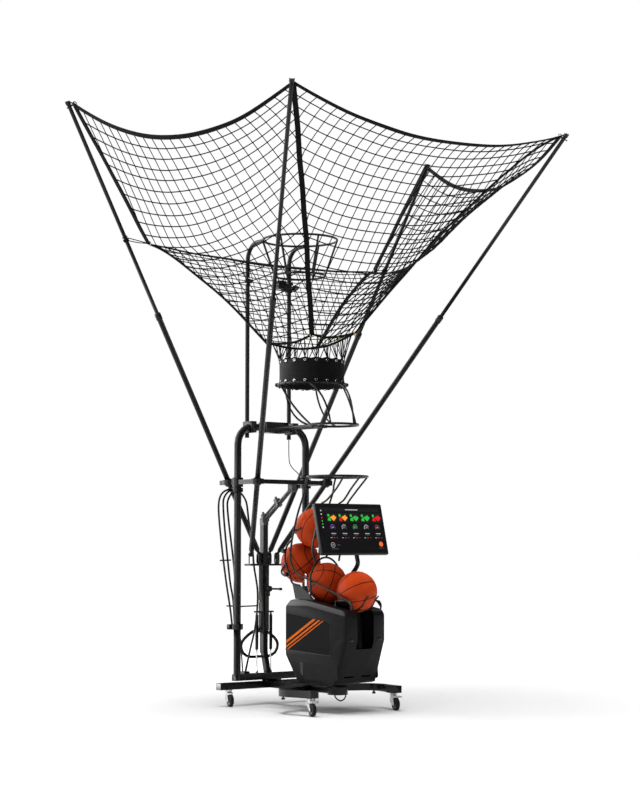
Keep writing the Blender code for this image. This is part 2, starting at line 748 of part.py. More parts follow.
def guide_beam():
    rear, front = pole_point("rear", 1, BEAM_HEIGHT), pole_point("front", 1, BEAM_HEIGHT)
    half = BEAM_SECTION / 2
    pieces, holes = [], [upright_hole()]
    for side in (1, -1):
        pieces.append(box("arm", (rear.x - BEAM_OVERHANG, side * rear.y - half, BEAM_HEIGHT - half),
                          (front.x + SOCKET_RADIUS, side * rear.y + half, BEAM_HEIGHT + half)))
        pieces.append(rod("collar",
                          (UPRIGHT_X, side * UPRIGHT_HALF_WIDTH, BEAM_HEIGHT - LEG_COLLAR_HEIGHT / 2),
                          (UPRIGHT_X, side * UPRIGHT_HALF_WIDTH, BEAM_HEIGHT + LEG_COLLAR_HEIGHT / 2),
                          LEG_COLLAR_RADIUS, steps=16))
        inner, outer = sorted((side * UPRIGHT_HALF_WIDTH, side * rear.y))
        pieces.append(box("web", (UPRIGHT_X - COLLAR_WEB_WIDTH / 2, inner, BEAM_HEIGHT - half / 2),
                          (UPRIGHT_X + COLLAR_WEB_WIDTH / 2, outer, BEAM_HEIGHT + half / 2)))
        for end in ("rear", "front"):
            centre = pole_point(end, side, BEAM_HEIGHT)
            rise = Vector((0, 0, SOCKET_HALF_HEIGHT))
            pieces.append(rod("socket", centre - rise, centre + rise, SOCKET_RADIUS))
            holes.append(ball("seat", centre, BUSH_RADIUS + BUSH_CLEARANCE, black_paint, 14))
            for drop in (0.0, LIFT_TRAVEL):
                way = (centre - pole_ends(end, side)[0] + Vector((0, 0, drop))).normalized() * 0.1
                holes.append(rod("passage", centre - way, centre + way, BUSH_BORE_RADIUS + SEAT_GAP,
                                 steps=12))
    pieces.append(box("cross", (front.x - half, -front.y + 0.01, BEAM_HEIGHT - half + 0.001),
                      (front.x + half, front.y - 0.01, BEAM_HEIGHT + half - 0.001)))
    return smooth(cut(join("guide_beam", pieces), holes))


# Net lift

def guide_post():
    half = POST_WIDTH / 2
    post = box("post", (MAST_X - half, -half, POST_BOTTOM), (MAST_X + half, half, POST_TOP))
    lean = bar("lean", (MAST_X, 0, POST_BOTTOM + 0.016), (LEAN_FOOT_X, 0, FOOT_BRACKET_BOTTOM + 0.002),
               POST_WIDTH - 0.004, POST_WIDTH - 0.004)
    bracket = box("bracket", (MAST_X - 0.016, -GAS_SPRING_Y - 0.016, FOOT_BRACKET_BOTTOM),
                  (UPRIGHT_X - FOOT_BAR_DEPTH / 2 - SEAT_GAP, GAS_SPRING_Y + 0.016,
                   FOOT_BRACKET_BOTTOM + FOOT_BRACKET_THICKNESS))
    flange = box("flange", (UPRIGHT_X - FOOT_BAR_DEPTH / 2 - SEAT_GAP - 0.006, -0.05,
                            FOOT_BAR_BOTTOM + 0.002),
                 (UPRIGHT_X - FOOT_BAR_DEPTH / 2 - SEAT_GAP, 0.05, FOOT_BRACKET_BOTTOM + 0.003))
    return join("guide_post", [post, lean, bracket, flange])


def hub_clevis(end, side):
    pivot, _ = pole_ends(end, side)
    axis = pole_hinge_axis(end, side)
    inward = axis.cross(Vector((0, 0, 1)))
    offset = EYE_WIDTH / 2 + 0.0005 + TINE_THICKNESS / 2
    base = HUB_PLATE_TOP - PIVOT_HEIGHT + TINE_RADIUS - 0.004
    pieces = []
    for way in (1, -1):
        turn = Matrix((inward, Vector((0, 0, 1)), axis)).transposed().to_4x4()
        place = Matrix.Translation(pivot + axis * offset * way) @ turn
        outline = link_outline((0, base), TINE_RADIUS + 0.0006, (0, 0), TINE_RADIUS)
        pieces.append(plate("tine", outline, TINE_THICKNESS, place))
    reach = axis * (offset + TINE_THICKNESS / 2 + 0.003)
    pieces.append(rod("pin", pivot - reach, pivot + reach, PIVOT_PIN_RADIUS, steps=10))
    return pieces


def lift_sleeve():
    half = SLEEVE_WIDTH / 2
    plate_bottom = HUB_PLATE_TOP - HUB_PLATE_THICKNESS
    pieces = [box("tube", (MAST_X - half, -half, SLEEVE_BOTTOM),
                  (MAST_X + half, half, plate_bottom + OVERLAP)),
              box("hub", (MAST_X - HUB_PLATE_DEPTH / 2, -HUB_PLATE_LENGTH / 2, plate_bottom),
                  (MAST_X + HUB_PLATE_DEPTH / 2, HUB_PLATE_LENGTH / 2, HUB_PLATE_TOP)),
              box("cross", (MAST_X - 0.014, -GAS_SPRING_Y - 0.014, CROSS_PLATE_BOTTOM),
                  (MAST_X + 0.014, GAS_SPRING_Y + 0.014, CROSS_PLATE_BOTTOM + CROSS_PLATE_THICKNESS)),
              box("boss", (MAST_X + half - OVERLAP, -0.016, LOCK_HEIGHT - 0.046),
                  (MAST_X + half + 0.020, 0.016, LOCK_HEIGHT + 0.014))]
    for end, side in POLES:
        pieces += hub_clevis(end, side)
    bore_half = POST_WIDTH / 2 + SEAT_GAP
    bore = box("bore", (MAST_X - bore_half, -bore_half, SLEEVE_BOTTOM - 0.1),
               (MAST_X + bore_half, bore_half, HUB_PLATE_TOP + 0.1))
    lock_hole = rod("lock_hole", (MAST_X, 0, LOCK_HEIGHT), (MAST_X + 0.1, 0, LOCK_HEIGHT),
                    LOCK_SCREW_RADIUS + SEAT_GAP, steps=16)
    return smooth(cut(join("lift_sleeve", pieces), [bore, lock_hole]))


def lock_handle():
    start = MAST_X + POST_WIDTH / 2 + SEAT_GAP
    face = MAST_X + SLEEVE_WIDTH / 2 + 0.020
    end = start + LOCK_SCREW_LENGTH
    pieces = [rod("screw", (start, 0, LOCK_HEIGHT), (end, 0, LOCK_HEIGHT), LOCK_SCREW_RADIUS, steps=16),
              rod("disc", (face + 0.014, 0, LOCK_HEIGHT), (face + 0.022, 0, LOCK_HEIGHT), LOCK_DISC_RADIUS),
              rod("tip", (end - 0.012, 0, LOCK_HEIGHT), (end + 0.006, 0, LOCK_HEIGHT), 0.0085, steps=16),
              rod("bar", (end - 0.050, 0, LOCK_HEIGHT - 0.002), (end - 0.050, 0, LOCK_HEIGHT + 0.002),
                  0.003, steps=8)]
    return smooth(join("lock_handle", pieces))


def gas_springs():
    for name, side in (("left", 1), ("right", -1)):
        y = side * GAS_SPRING_Y
        top = CROSS_PLATE_BOTTOM - SEAT_GAP
        depth = ROD_ENGAGEMENT + LIFT_TRAVEL + 0.012
        profile = [(0, top), (0.006, top), (0.006, top - 0.012), (GAS_CYLINDER_RADIUS, top - 0.014),
                   (GAS_CYLINDER_RADIUS, GAS_CYLINDER_BOTTOM), (GAS_BORE_RADIUS, GAS_CYLINDER_BOTTOM),
                   (GAS_BORE_RADIUS, GAS_CYLINDER_BOTTOM + depth), (0, GAS_CYLINDER_BOTTOM + depth)]
        place = Matrix.Translation((MAST_X, y, 0))
        smooth(turned("gas_cylinder_" + name, profile, place, black_paint, 16))
        foot = FOOT_BRACKET_BOTTOM + FOOT_BRACKET_THICKNESS + SEAT_GAP
        rod_top = GAS_CYLINDER_BOTTOM + ROD_ENGAGEMENT
        profile = [(0, rod_top), (GAS_ROD_RADIUS, rod_top), (GAS_ROD_RADIUS, foot + 0.016),
                   (0.008, foot + 0.013),
                   (0.008, foot), (0, foot)]
        smooth(turned("gas_rod_" + name, profile, place, steel, 16))


def ring_handle():
    half = HANDLE_WIDTH / 2
    low, high = HANDLE_BOTTOM + HANDLE_TUBE_RADIUS, HANDLE_TOP - HANDLE_TUBE_RADIUS
    middle = low + (high - low) * 0.44
    bends = [(0, low), (-0.5, low), (-0.86, low + 0.022), (-1, middle), (-0.82, high - 0.048),
             (-0.36, high - 0.006), (0, high), (0.36, high - 0.006), (0.82, high - 0.048), (1, middle),
             (0.86, low + 0.022), (0.5, low), (0, low)]
    path = through([(HANDLE_X, share * half, height) for share, height in bends], 2)[:-1]
    loop = wire("loop", path, HANDLE_TUBE_RADIUS, closed=True, resolution=1)
    face = MAST_X - SLEEVE_WIDTH / 2 - SEAT_GAP
    bracket = box("bracket", (HANDLE_X - 0.006, -0.017, SLEEVE_BOTTOM - 0.012),
                  (face, 0.017, SLEEVE_BOTTOM + 0.026))
    return smooth(join("ring_handle", [loop, bracket]))


# Diagonal strut from the post's top to the guide beam

def diagonal_strut():
    front = pole_point("front", 1, BEAM_HEIGHT)
    low = Vector((MAST_X, 0, POST_TOP + STRUT_CLAMP / 2 + SEAT_GAP))
    high = Vector((front.x, 0, BEAM_HEIGHT - BEAM_SECTION / 2 - 0.022))
    along = (high - low).normalized()
    up = along.cross(Vector((0, 1, 0)))
    if up.z < 0:
        up = -up
    half = STRUT_CLAMP / 2
    offset = up * (STRUT_RADIUS + STRUT_SLEEVE_RADIUS - 0.001)
    reach = (high - low).length
    pieces = [rod("main", low, high, STRUT_RADIUS, steps=16),
              rod("sleeve", low + offset + along * 0.007, low + offset + along * reach * 0.56,
                  STRUT_SLEEVE_RADIUS, steps=12),
              box("low_clamp", (low.x - half, -half * 0.8, low.z - half),
                  (low.x + half, half * 0.8, low.z + half)),
              box("high_clamp", (high.x - half, -half * 0.8, high.z - half),
                  (high.x + half, half * 0.8, BEAM_HEIGHT - BEAM_SECTION / 2 + 0.001 - SEAT_GAP))]
    for share in (0.06, 0.52):
        centre = low + offset * 0.6 + along * reach * share
        pieces.append(bar("band", centre - along * 0.012, centre + along * 0.012, 0.036, 0.052))
        pieces.append(rod("knob", centre + offset * 0.8, centre + offset * 1.9, 0.008, steps=12))
    return smooth(join("diagonal_strut", pieces))


# Wire guard on the right leg

def wire_guard():
    x, leg_y = UPRIGHT_X - 0.046, -UPRIGHT_HALF_WIDTH
    radius = 0.0042

    def down(points):
        return through([(x, leg_y + y, z) for y, z in points], 2)

    clamp_top = BEAM_HEIGHT - LEG_COLLAR_HEIGHT / 2 - GUARD_TOP_GAP
    top = clamp_top - 0.008
    rods = [down([(-0.030, top), (-0.100, top - 0.043), (-0.143, top - 0.128), (-0.118, 0.980),
                  (-0.086, 0.760), (-0.030, 0.480)]),
            down([(-0.020, top), (-0.070, top - 0.038), (-0.108, top - 0.118), (-0.092, 1.000),
                  (-0.060, 0.760), (-0.016, 0.480)]),
            down([(-0.008, top), (-0.042, top - 0.038), (-0.072, top - 0.128), (-0.056, 0.980),
                  (-0.034, 0.760), (-0.004, 0.480)]),
            down([(0.008, top), (0.052, top - 0.048), (0.085, top - 0.128), (0.104, 1.000), (0.124, 0.840),
                  (0.150, 0.640), (0.146, 0.500), (0.098, 0.330), (0.062, 0.200)])]
    pieces = [wire("rod", path, radius) for path in rods]
    pieces.append(wire("cross", [(x, leg_y - 0.118, 0.880), (x, leg_y - 0.040, 0.884)], radius * 0.8))
    pieces.append(wire("cross", [(x, leg_y - 0.078, 0.610), (x, leg_y - 0.014, 0.618)], radius * 0.8))
    pieces.append(wire("cross", [(x, leg_y - 0.014, 0.618), (x, leg_y + 0.150, 0.622)], radius * 0.9))
    blocks = []
    for low, high, reach in ((clamp_top - GUARD_CLAMP_HEIGHT, clamp_top, 0.036), (0.462, 0.494, 0.040)):
        blocks.append(box("clamp", (x - 0.010, leg_y - reach, low),
                          (UPRIGHT_X + 0.034, leg_y + 0.034, high)))
    foot_face = UPRIGHT_X - FOOT_BAR_DEPTH / 2 - SEAT_GAP
    blocks.append(box("foot", (x - 0.010, leg_y + 0.046, 0.172), (foot_face, leg_y + 0.078, 0.206)))
    body = join("wire_guard", blocks[:1] + pieces + blocks[1:])
    return smooth(cut(body, [upright_hole()]))


# Shot counter

def gooseneck(name, side):
    y = side * GOOSENECK_Y
    inner = y - side * FOLD_EYE_WIDTH
    low, high = min(inner, y), max(inner, y)
    pieces = [rod("tube", (GOOSENECK_X, y, GOOSENECK_BOTTOM), (GOOSENECK_X, y, FOLD_AXIS_Z - 0.022),
                  GOOSENECK_RADIUS, steps=12),
              box("clamp", (GOOSENECK_X - 0.018, y - 0.018, UPRIGHT_TOP - 0.034),
                  (UPRIGHT_X + 0.030, y + 0.018, UPRIGHT_TOP + 0.034)),
              box("tongue", (GOOSENECK_X - 0.010, low + 0.0006, FOLD_AXIS_Z - 0.030),
                  (GOOSENECK_X + 0.010, high - 0.0006, FOLD_AXIS_Z - 0.002)),
              rod("eye", (GOOSENECK_X, low, FOLD_AXIS_Z), (GOOSENECK_X, high, FOLD_AXIS_Z), FOLD_EYE_RADIUS,
                  steps=16),
              rod("pin", (GOOSENECK_X, inner + side * 0.002, FOLD_AXIS_Z),
                  (GOOSENECK_X, y + side * (FOLD_EYE_WIDTH + 0.003),
                   FOLD_AXIS_Z), FOLD_PIN_RADIUS, steps=12),
              rod("knob", (GOOSENECK_X, inner - side * 0.016, FOLD_AXIS_Z),
                  (GOOSENECK_X, inner + side * 0.002, FOLD_AXIS_Z),
                  0.012, steps=8)]
    return smooth(cut(join("gooseneck_" + name, pieces), [upright_hole()]))


def counter_hoop():
    top = (COUNTER_X, 0, COUNTER_TOP_Z)
    low = (COUNTER_X, 0, COUNTER_LOW_Z)
    count = 3 * COUNTER_BARS
    pieces = [ring("top", top, COUNTER_TOP_RADIUS, COUNTER_WIRE_RADIUS, count),
              ring("low", low, COUNTER_LOW_RADIUS, COUNTER_WIRE_RADIUS, count)]
    tops = circle(top, COUNTER_TOP_RADIUS, COUNTER_BARS)
    lows = circle(low, COUNTER_LOW_RADIUS, COUNTER_BARS)
    for above, below in zip(tops, lows):
        pieces.append(wire("bar", [above, below], COUNTER_WIRE_RADIUS * 0.7))
    for side in (1, -1):
        y = side * GOOSENECK_Y
        outer = y + side * (FOLD_EYE_WIDTH + SEAT_GAP)
        low_y, high_y = min(y + side * SEAT_GAP, outer), max(y + side * SEAT_GAP, outer)
        reach = sqrt(COUNTER_TOP_RADIUS ** 2 - GOOSENECK_Y ** 2)
        path = rounded([(GOOSENECK_X, y, FOLD_AXIS_Z + 0.020), (GOOSENECK_X, y, COUNTER_TOP_Z - 0.050),
                        (COUNTER_X - reach, y, COUNTER_TOP_Z)], 0.070, 4)
        pieces.append(wire("arm", path, GOOSENECK_RADIUS, resolution=1))
        pieces.append(box("tongue", (GOOSENECK_X - 0.009, low_y + 0.0006, FOLD_AXIS_Z + 0.002),
                          (GOOSENECK_X + 0.009, high_y - 0.0006, FOLD_AXIS_Z + 0.034)))
        pieces.append(rod("eye", (GOOSENECK_X, low_y, FOLD_AXIS_Z), (GOOSENECK_X, high_y, FOLD_AXIS_Z),
                          FOLD_EYE_RADIUS - 0.0006, steps=12))
    hole = rod("hole", (GOOSENECK_X, -0.3, FOLD_AXIS_Z), (GOOSENECK_X, 0.3, FOLD_AXIS_Z),
               FOLD_PIN_RADIUS + SEAT_GAP, steps=16)
    return smooth(cut(join("counter_hoop", pieces), [hole]))


def sensor_box():
    depth, width, height = SENSOR_BOX_SIZE
    right = GOOSENECK_Y - GOOSENECK_RADIUS - SEAT_GAP
    low = (GOOSENECK_X - depth / 2, right - width, FOLD_AXIS_Z - 0.032 - height)
    high = (GOOSENECK_X + depth / 2, right, FOLD_AXIS_Z - 0.032)
    body = box("sensor_box", low, high, plastic)
    lens = rod("lens", (high[0] - 0.004, (low[1] + high[1]) / 2, (low[2] + high[2]) / 2),
               (high[0] + 0.008, (low[1] + high[1]) / 2, (low[2] + high[2]) / 2), 0.014, steps=16)
    return smooth(join("sensor_box", [body, lens]))


# Collar and upper chute

def collar():
    inner = COLLAR_RADIUS - COLLAR_WALL
    profile = [(COLLAR_RADIUS, COLLAR_TOP), (COLLAR_RADIUS, COLLAR_BOTTOM), (inner, COLLAR_BOTTOM),
               (inner, COLLAR_TOP)]
    smooth(turned("net_collar", profile, Matrix.Translation((COLLAR_X, 0, 0)), vinyl, 36))


def chute_path(above, below, steps=8):
    # a rear rod falls first and then runs forward, and a front rod runs forward first
    forward = (above.x - COLLAR_X) / (2 * COLLAR_RADIUS) + 0.5
    fallen = Vector((above.x, above.y, below.z))
    ahead = Vector((below.x, below.y, above.z))
    bend = ((above + below) / 2).lerp(fallen.lerp(ahead, forward), CHUTE_ROD_BOW)
    path = []
    for i in range(steps + 1):
        share = i / steps
        path.append(above.lerp(bend, share).lerp(bend.lerp(below, share), share))
    return path


def upper_chute():
    hoop_radius = (COLLAR_RADIUS + CHUTE_WIRE_RADIUS + 2 * SEAT_GAP) / cos(pi / (4 * CHUTE_RODS))
    hoop_centre = (COLLAR_X, 0, HOOP_Z)
    ring_centre = (CHUTE_RING_X, 0, CHUTE_RING_Z)
    start = radians(90 / CHUTE_RODS)
    pieces = [ring("hoop", hoop_centre, hoop_radius, CHUTE_WIRE_RADIUS, 4 * CHUTE_RODS),
              ring("ring", ring_centre, CHUTE_RING_RADIUS, CHUTE_WIRE_RADIUS, 3 * CHUTE_RODS)]
    tops = circle(hoop_centre, hoop_radius, CHUTE_RODS, start)
    lows = circle(ring_centre, CHUTE_RING_RADIUS, CHUTE_RODS, start)
    for above, below in zip(tops, lows):
        above, below = Vector(above), Vector(below)
        pieces.append(wire("rod", chute_path(above, below), CHUTE_WIRE_RADIUS * 0.8))
    rear = CHUTE_RING_X - CHUTE_RING_RADIUS
    for side in (1, -1):
        pieces.append(rod("arm", (UPRIGHT_X + 0.040, side * 0.052, UPRIGHT_TOP - 0.008),
                          (rear + 0.018, side * 0.052, CHUTE_RING_Z), 0.0085, steps=12))
    pieces.append(box("clamp", (UPRIGHT_X - 0.030, -0.082, UPRIGHT_TOP - 0.032),
                      (UPRIGHT_X + 0.060, 0.082, UPRIGHT_TOP + 0.032)))
    for way in (1, -1):
        tip = Vector((COLLAR_X, 0, HOOP_Z)) + Vector((0.622, 0.783, 0)) * way * (hoop_radius + 0.006)
        pieces.append(ball("knob", tip, 0.011, black_paint, 8))
    return smooth(cut(join("upper_chute", pieces), [upright_hole()]))


# Net funnel

def net_corner(end, side):
    pivot, tip = pole_ends(end, side)
    inward = Vector((NECK_X - tip.x, -tip.y, 0)).normalized()
    return tip + inward * NET_PULL_IN - Vector((0, 0, NET_DROP))


def neck_corner(end, side):
    return Vector((NECK_X + (NECK_HALF_WIDTH if end == "front" else -NECK_HALF_WIDTH),
                   side * NECK_HALF_WIDTH, NECK_Z))


def horn(top, neck, share):
    # seam line that falls gently at first and steeply near the neck
    point = top.lerp(neck, share)
    point.z = top.z + (neck.z - top.z) * share ** HORN_POWER
    return point


def seam_point(end, side, row):
    corner, neck = net_corner(end, side), neck_corner(end, side)
    if end == "front":
        return horn(corner, neck, row / NET_ROWS)
    tie = Vector((REAR_TIE_X, side * REAR_TIE_Y, REAR_TIE_Z))
    if row <= NET_TIE_ROW:
        return corner.lerp(tie, row / NET_TIE_ROW)
    return horn(tie, neck, (row - NET_TIE_ROW) / (NET_ROWS - NET_TIE_ROW))


def net_point(first, second, row, share, sag, first_row, bow):
    slack = (NET_ROWS - row) / (NET_ROWS - first_row)
    arch = 4 * share * (1 - share)
    point = seam_point(*first, row).lerp(seam_point(*second, row), share)
    return point + Vector((bow * arch * slack, 0, -sag * arch * slack))


def net_funnel():
    panels = [(("rear", -1), ("front", -1), SIDE_SAG, 0, 0.0),
              (("front", -1), ("front", 1), FRONT_SAG, 0, 0.0),
              (("front", 1), ("rear", 1), SIDE_SAG, 0, 0.0), (("rear", 1), ("rear", -1), REAR_SAG,
                                                              NET_TIE_ROW, REAR_EDGE_BOW)]
    bm = bmesh.new()
    for first, second, sag, first_row, bow in panels:
        grid = [[bm.verts.new(net_point(first, second, row, i / NET_COLUMNS, sag, first_row, bow))
                 for i in range(NET_COLUMNS + 1)] for row in range(first_row, NET_ROWS + 1)]
        for upper, lower in zip(grid, grid[1:]):
            for i in range(NET_COLUMNS):
                bm.faces.new((upper[i], upper[i + 1], lower[i + 1], lower[i]))
    bmesh.ops.remove_doubles(bm, verts=bm.verts, dist=0.001)
    obj = add_object("net_funnel", mesh_from(bm, "net_funnel"), netting)
    cords = obj.modifiers.new("cords", "WIREFRAME")
    cords.thickness = NET_CORD_THICKNESS
    cords.use_boundary = True
    cords.use_replace = True
    cords.use_even_offset = False


# Launcher turntable, housing and inner parts

def turntable():
    low = BAR_TOP + SEAT_GAP
    profile = [(0, KINGPIN_TOP), (KINGPIN_RADIUS, KINGPIN_TOP), (KINGPIN_RADIUS, TURNTABLE_TOP),
               (TURNTABLE_RADIUS, TURNTABLE_TOP), (TURNTABLE_RADIUS, low), (0, low)]
    smooth(turned("turntable_base", profile, Matrix.Translation((TURN_AXIS_X, 0, 0))))
    low = TURNTABLE_TOP + SEAT_GAP
    high = low + TURN_PLATE_THICKNESS
    bore = KINGPIN_RADIUS + SEAT_GAP
    profile = [(TURN_PLATE_RADIUS, high), (TURN_PLATE_RADIUS, low), (bore, low), (bore, high)]
    smooth(turned("turntable_plate", profile, Matrix.Translation((TURN_AXIS_X, 0, 0))))


def housing_outline(inset=0.0):
    # side outline as (forward, up), anticlockwise from the rear foot
    low = HOUSING_BOTTOM + inset
    high = HOUSING_TOP - inset
    rear = HOUSING_REAR + inset
    front = HOUSING_FRONT - inset
    return [(-0.158 + inset * 0.5, low), (0.143 - inset * 0.4, low), (front, 0.420),
            (front, 0.572 - inset * 0.6),
            (front - 0.020 + inset * 0.3, DECK_FRONT_Z - inset), (DECK_SLOPE_START, high),
            (rear + 0.040, high), (rear, HOUSING_TOP - 0.036), (rear, 0.330)]


def housing_body(inset):
    outline = housing_outline(inset)
    width = 2 * (HOUSING_HALF_WIDTH - inset)
    body = to_mesh(plate("housing_shell", outline, width, side_view_place(0), plastic))
    soften = body.modifiers.new("edges", "BEVEL")
    soften.width = max(HOUSING_EDGE - inset, 0.002)
    soften.segments = 2
    soften.limit_method = "ANGLE"
    soften.angle_limit = radians(30)
    return to_mesh(body)


def panel_outline(grow=0.0):
    return [(-0.246 - grow, 0.362 - grow), (0.100 + grow, 0.334 - grow), (0.100 + grow, 0.527 + grow),
            (-0.246 - grow, 0.574 + grow)]


def launcher_box(name, low, high, material=black_paint):
    return to_launcher(box(name, low, high, material))


def launcher_rod(name, start, end, radius, material=black_paint, steps=ROUND_STEPS):
    return to_launcher(rod(name, start, end, radius, material, steps=steps))


def display_foot():
    return launcher_point(-0.030, 0.150, 0.0)


def housing_shell():
    outer, inner = housing_body(0.0), housing_body(HOUSING_WALL)
    half = DECK_OPENING_HALF_WIDTH
    tools = [launcher_box("deck_hole", (DECK_OPENING_REAR, -half, DECK_FRONT_Z - 0.040),
                          (HOUSING_FRONT - 0.030, half, 0.80)),
             launcher_box("front_slot", (HOUSING_FRONT - 0.050, -SLOT_HALF_WIDTH, SLOT_BOTTOM),
                          (0.30, SLOT_HALF_WIDTH, 0.80)),
             launcher_rod("pin_hole", (0, 0, 0.10), (0, 0, HOUSING_BOTTOM + 0.02), KINGPIN_RADIUS + 0.003)]
    foot = display_foot()
    tools.append(rod("display_hole", foot + Vector((0, 0, 0.55)), foot + Vector((0, 0, 0.75)),
                     DISPLAY_TUBE_RADIUS + 2 * SEAT_GAP))
    for side in (1, -1):
        place = side_view_place(side * HOUSING_HALF_WIDTH)
        tools.append(plate("recess", panel_outline(SEAT_GAP), 2 * PANEL_RECESS, place))
        tools.append(launcher_box("grip", (0.150, side * HOUSING_HALF_WIDTH - 0.0015, 0.425),
                                  (0.186, side * HOUSING_HALF_WIDTH + 0.0015, 0.445)))
    for low in (-0.120, 0.030):
        tools.append(launcher_box("vent", (0.120, low, 0.205), (0.30, low + 0.085, 0.214)))
    return smooth(cut(outer, tools + [inner]))


def side_panel(name, side):
    depth = side * (HOUSING_HALF_WIDTH - PANEL_RECESS + SEAT_GAP + PANEL_THICKNESS / 2)
    to_mesh(plate("side_panel_" + name, panel_outline(-SEAT_GAP), PANEL_THICKNESS, side_view_place(depth),
                  vinyl))


def chassis():
    floor = HOUSING_BOTTOM + HOUSING_WALL + SEAT_GAP
    half = CHASSIS_HALF_WIDTH
    pieces = [launcher_box("floor", (-0.120, -half - CHASSIS_PLATE, floor),
                           (0.128, half + CHASSIS_PLATE, floor + 0.006))]
    for side in (1, -1):
        middle = side * (half + CHASSIS_PLATE / 2)
        outline = [(-0.110, floor + 0.003), (0.126, floor + 0.003), (0.178, SHAFT_HEIGHT - 0.030),
                   (0.178, SHAFT_HEIGHT + 0.020),
                   (0.160, SHAFT_HEIGHT + 0.030), (0.120, SHAFT_HEIGHT + 0.030), (-0.060, 0.260), (-0.110,
                                                                                                   0.250)]
        pieces.append(plate("cheek", outline, CHASSIS_PLATE, side_view_place(middle)))
    holes = [launcher_rod("shaft_hole", (SHAFT_FORWARD, -0.2, SHAFT_HEIGHT),
                          (SHAFT_FORWARD, 0.2, SHAFT_HEIGHT),
                          SHAFT_RADIUS + SEAT_GAP),
             launcher_rod("pin_hole", (0, 0, 0.10), (0, 0, 0.30), KINGPIN_RADIUS + 0.003)]
    return smooth(cut(join("launcher_chassis", pieces), holes))


def arm_shaft():
    body = launcher_rod("arm_shaft", (SHAFT_FORWARD, -SHAFT_LENGTH / 2, SHAFT_HEIGHT),
                        (SHAFT_FORWARD, SHAFT_LENGTH / 2, SHAFT_HEIGHT), SHAFT_RADIUS, steel)
    smooth(body)


def drive_motor():
    floor = HOUSING_BOTTOM + HOUSING_WALL + 2 * SEAT_GAP + 0.006
    pieces = [launcher_box("gearbox", (-0.100, -0.050, floor), (-0.020, 0.010, floor + 0.085)),
              launcher_rod("can", (-0.060, 0.006, floor + 0.045), (-0.060, 0.056, floor + 0.045), 0.034),
              launcher_rod("output", (-0.040, -0.054, floor + 0.055), (-0.040, -0.046, floor + 0.055),
                           0.008, steps=16)]
    return smooth(join("drive_motor", pieces, steel))


def control_box():
    rear = HOUSING_REAR + HOUSING_WALL + SEAT_GAP
    body = launcher_box("control_box", (rear, -0.110, 0.400), (rear + 0.060, 0.110, 0.560), plastic)
    soften = body.modifiers.new("edges", "BEVEL")
    soften.width = 0.004
    soften.segments = 1


def throw_arm():
    ball_at = ball_centres()[3]
    half = ARM_WIDTH / 2
    hub = launcher_rod("hub", (SHAFT_FORWARD, -half, SHAFT_HEIGHT), (SHAFT_FORWARD, half, SHAFT_HEIGHT),
                       ARM_HUB_RADIUS)
    reach = BALL_RADIUS + PRONG_RADIUS - 0.0015
    drop = sqrt(reach ** 2 - PRONG_SPREAD ** 2)
    top = ball_at[1] - drop
    outline = link_outline((SHAFT_FORWARD, SHAFT_HEIGHT), ARM_HUB_RADIUS - 0.001, (ball_at[0], top - 0.010),
                           0.0125)
    pieces = [hub, plate("blade", outline, ARM_WIDTH - 0.006, side_view_place(0))]
    cross_angles = (radians(-118), radians(-90), radians(-62))
    for side in (1, -1):
        path = []
        for i in range(6):
            turn = radians(-135 + 22.5 * i)
            path.append(launcher_point(ball_at[0] + drop * cos(turn), side * PRONG_SPREAD,
                                       ball_at[1] + drop * sin(turn)))
        path.append(launcher_point(ball_at[0] + drop + 0.012, side * PRONG_SPREAD, ball_at[1] - 0.024))
        pieces.append(wire("prong", path, PRONG_RADIUS))
    for turn in cross_angles:
        out = drop + PRONG_RADIUS * 0.4
        forward, up = ball_at[0] + out * cos(turn), ball_at[1] + out * sin(turn)
        reach = PRONG_SPREAD + 0.0011
        pieces.append(launcher_box("rib", (forward - 0.0048, -reach, up - 0.0066),
                                   (forward + 0.0053, reach, up - 0.0007)))
    body = join("throw_arm", pieces)
    hole = launcher_rod("hole", (SHAFT_FORWARD, -0.2, SHAFT_HEIGHT), (SHAFT_FORWARD, 0.2, SHAFT_HEIGHT),
                        SHAFT_RADIUS + SEAT_GAP)
    bm, place = ball_sphere(3, SEAT_GAP)
    clear = add_object("clear", mesh_from(bm, "clear"), black_paint)
    clear.matrix_world = place
    return smooth(cut(body, [hole, clear]))


# Balls and the wire tower that holds them

def ball_centres():
    # (forward, up) of the four balls, from the top of the drop to the throwing arm
    third = (QUEUE_FORWARD, QUEUE_HEIGHT)
    fourth = (third[0] + BALL_SPACING * cos(THROW_SLOPE), third[1] + BALL_SPACING * sin(THROW_SLOPE))
    second = (third[0] + BALL_SPACING * cos(TURN_SLOPE), third[1] + BALL_SPACING * sin(TURN_SLOPE))
    first = (second[0] + BALL_SPACING * cos(DROP_SLOPE), second[1] + BALL_SPACING * sin(DROP_SLOPE))
    return [first, second, third, fourth]


def ball_sphere(number, grow=0.0):
    # sphere with its poles to the launcher's sides and a corner towards the ball it rests on
    facing = (DROP_SLOPE, DROP_SLOPE, TURN_SLOPE, 0.0)[number]
    forward, up = ball_centres()[number]
    ahead = Vector((cos(facing), 0, sin(facing)))
    side = Vector((0, 1, 0))
    turn = Matrix((ahead, side.cross(ahead), side)).transposed().to_4x4()
    bm = bmesh.new()
    bmesh.ops.create_uvsphere(bm, u_segments=16, v_segments=8, radius=BALL_RADIUS + grow)
    return bm, launcher_place() @ Matrix.Translation((forward, 0, up)) @ turn


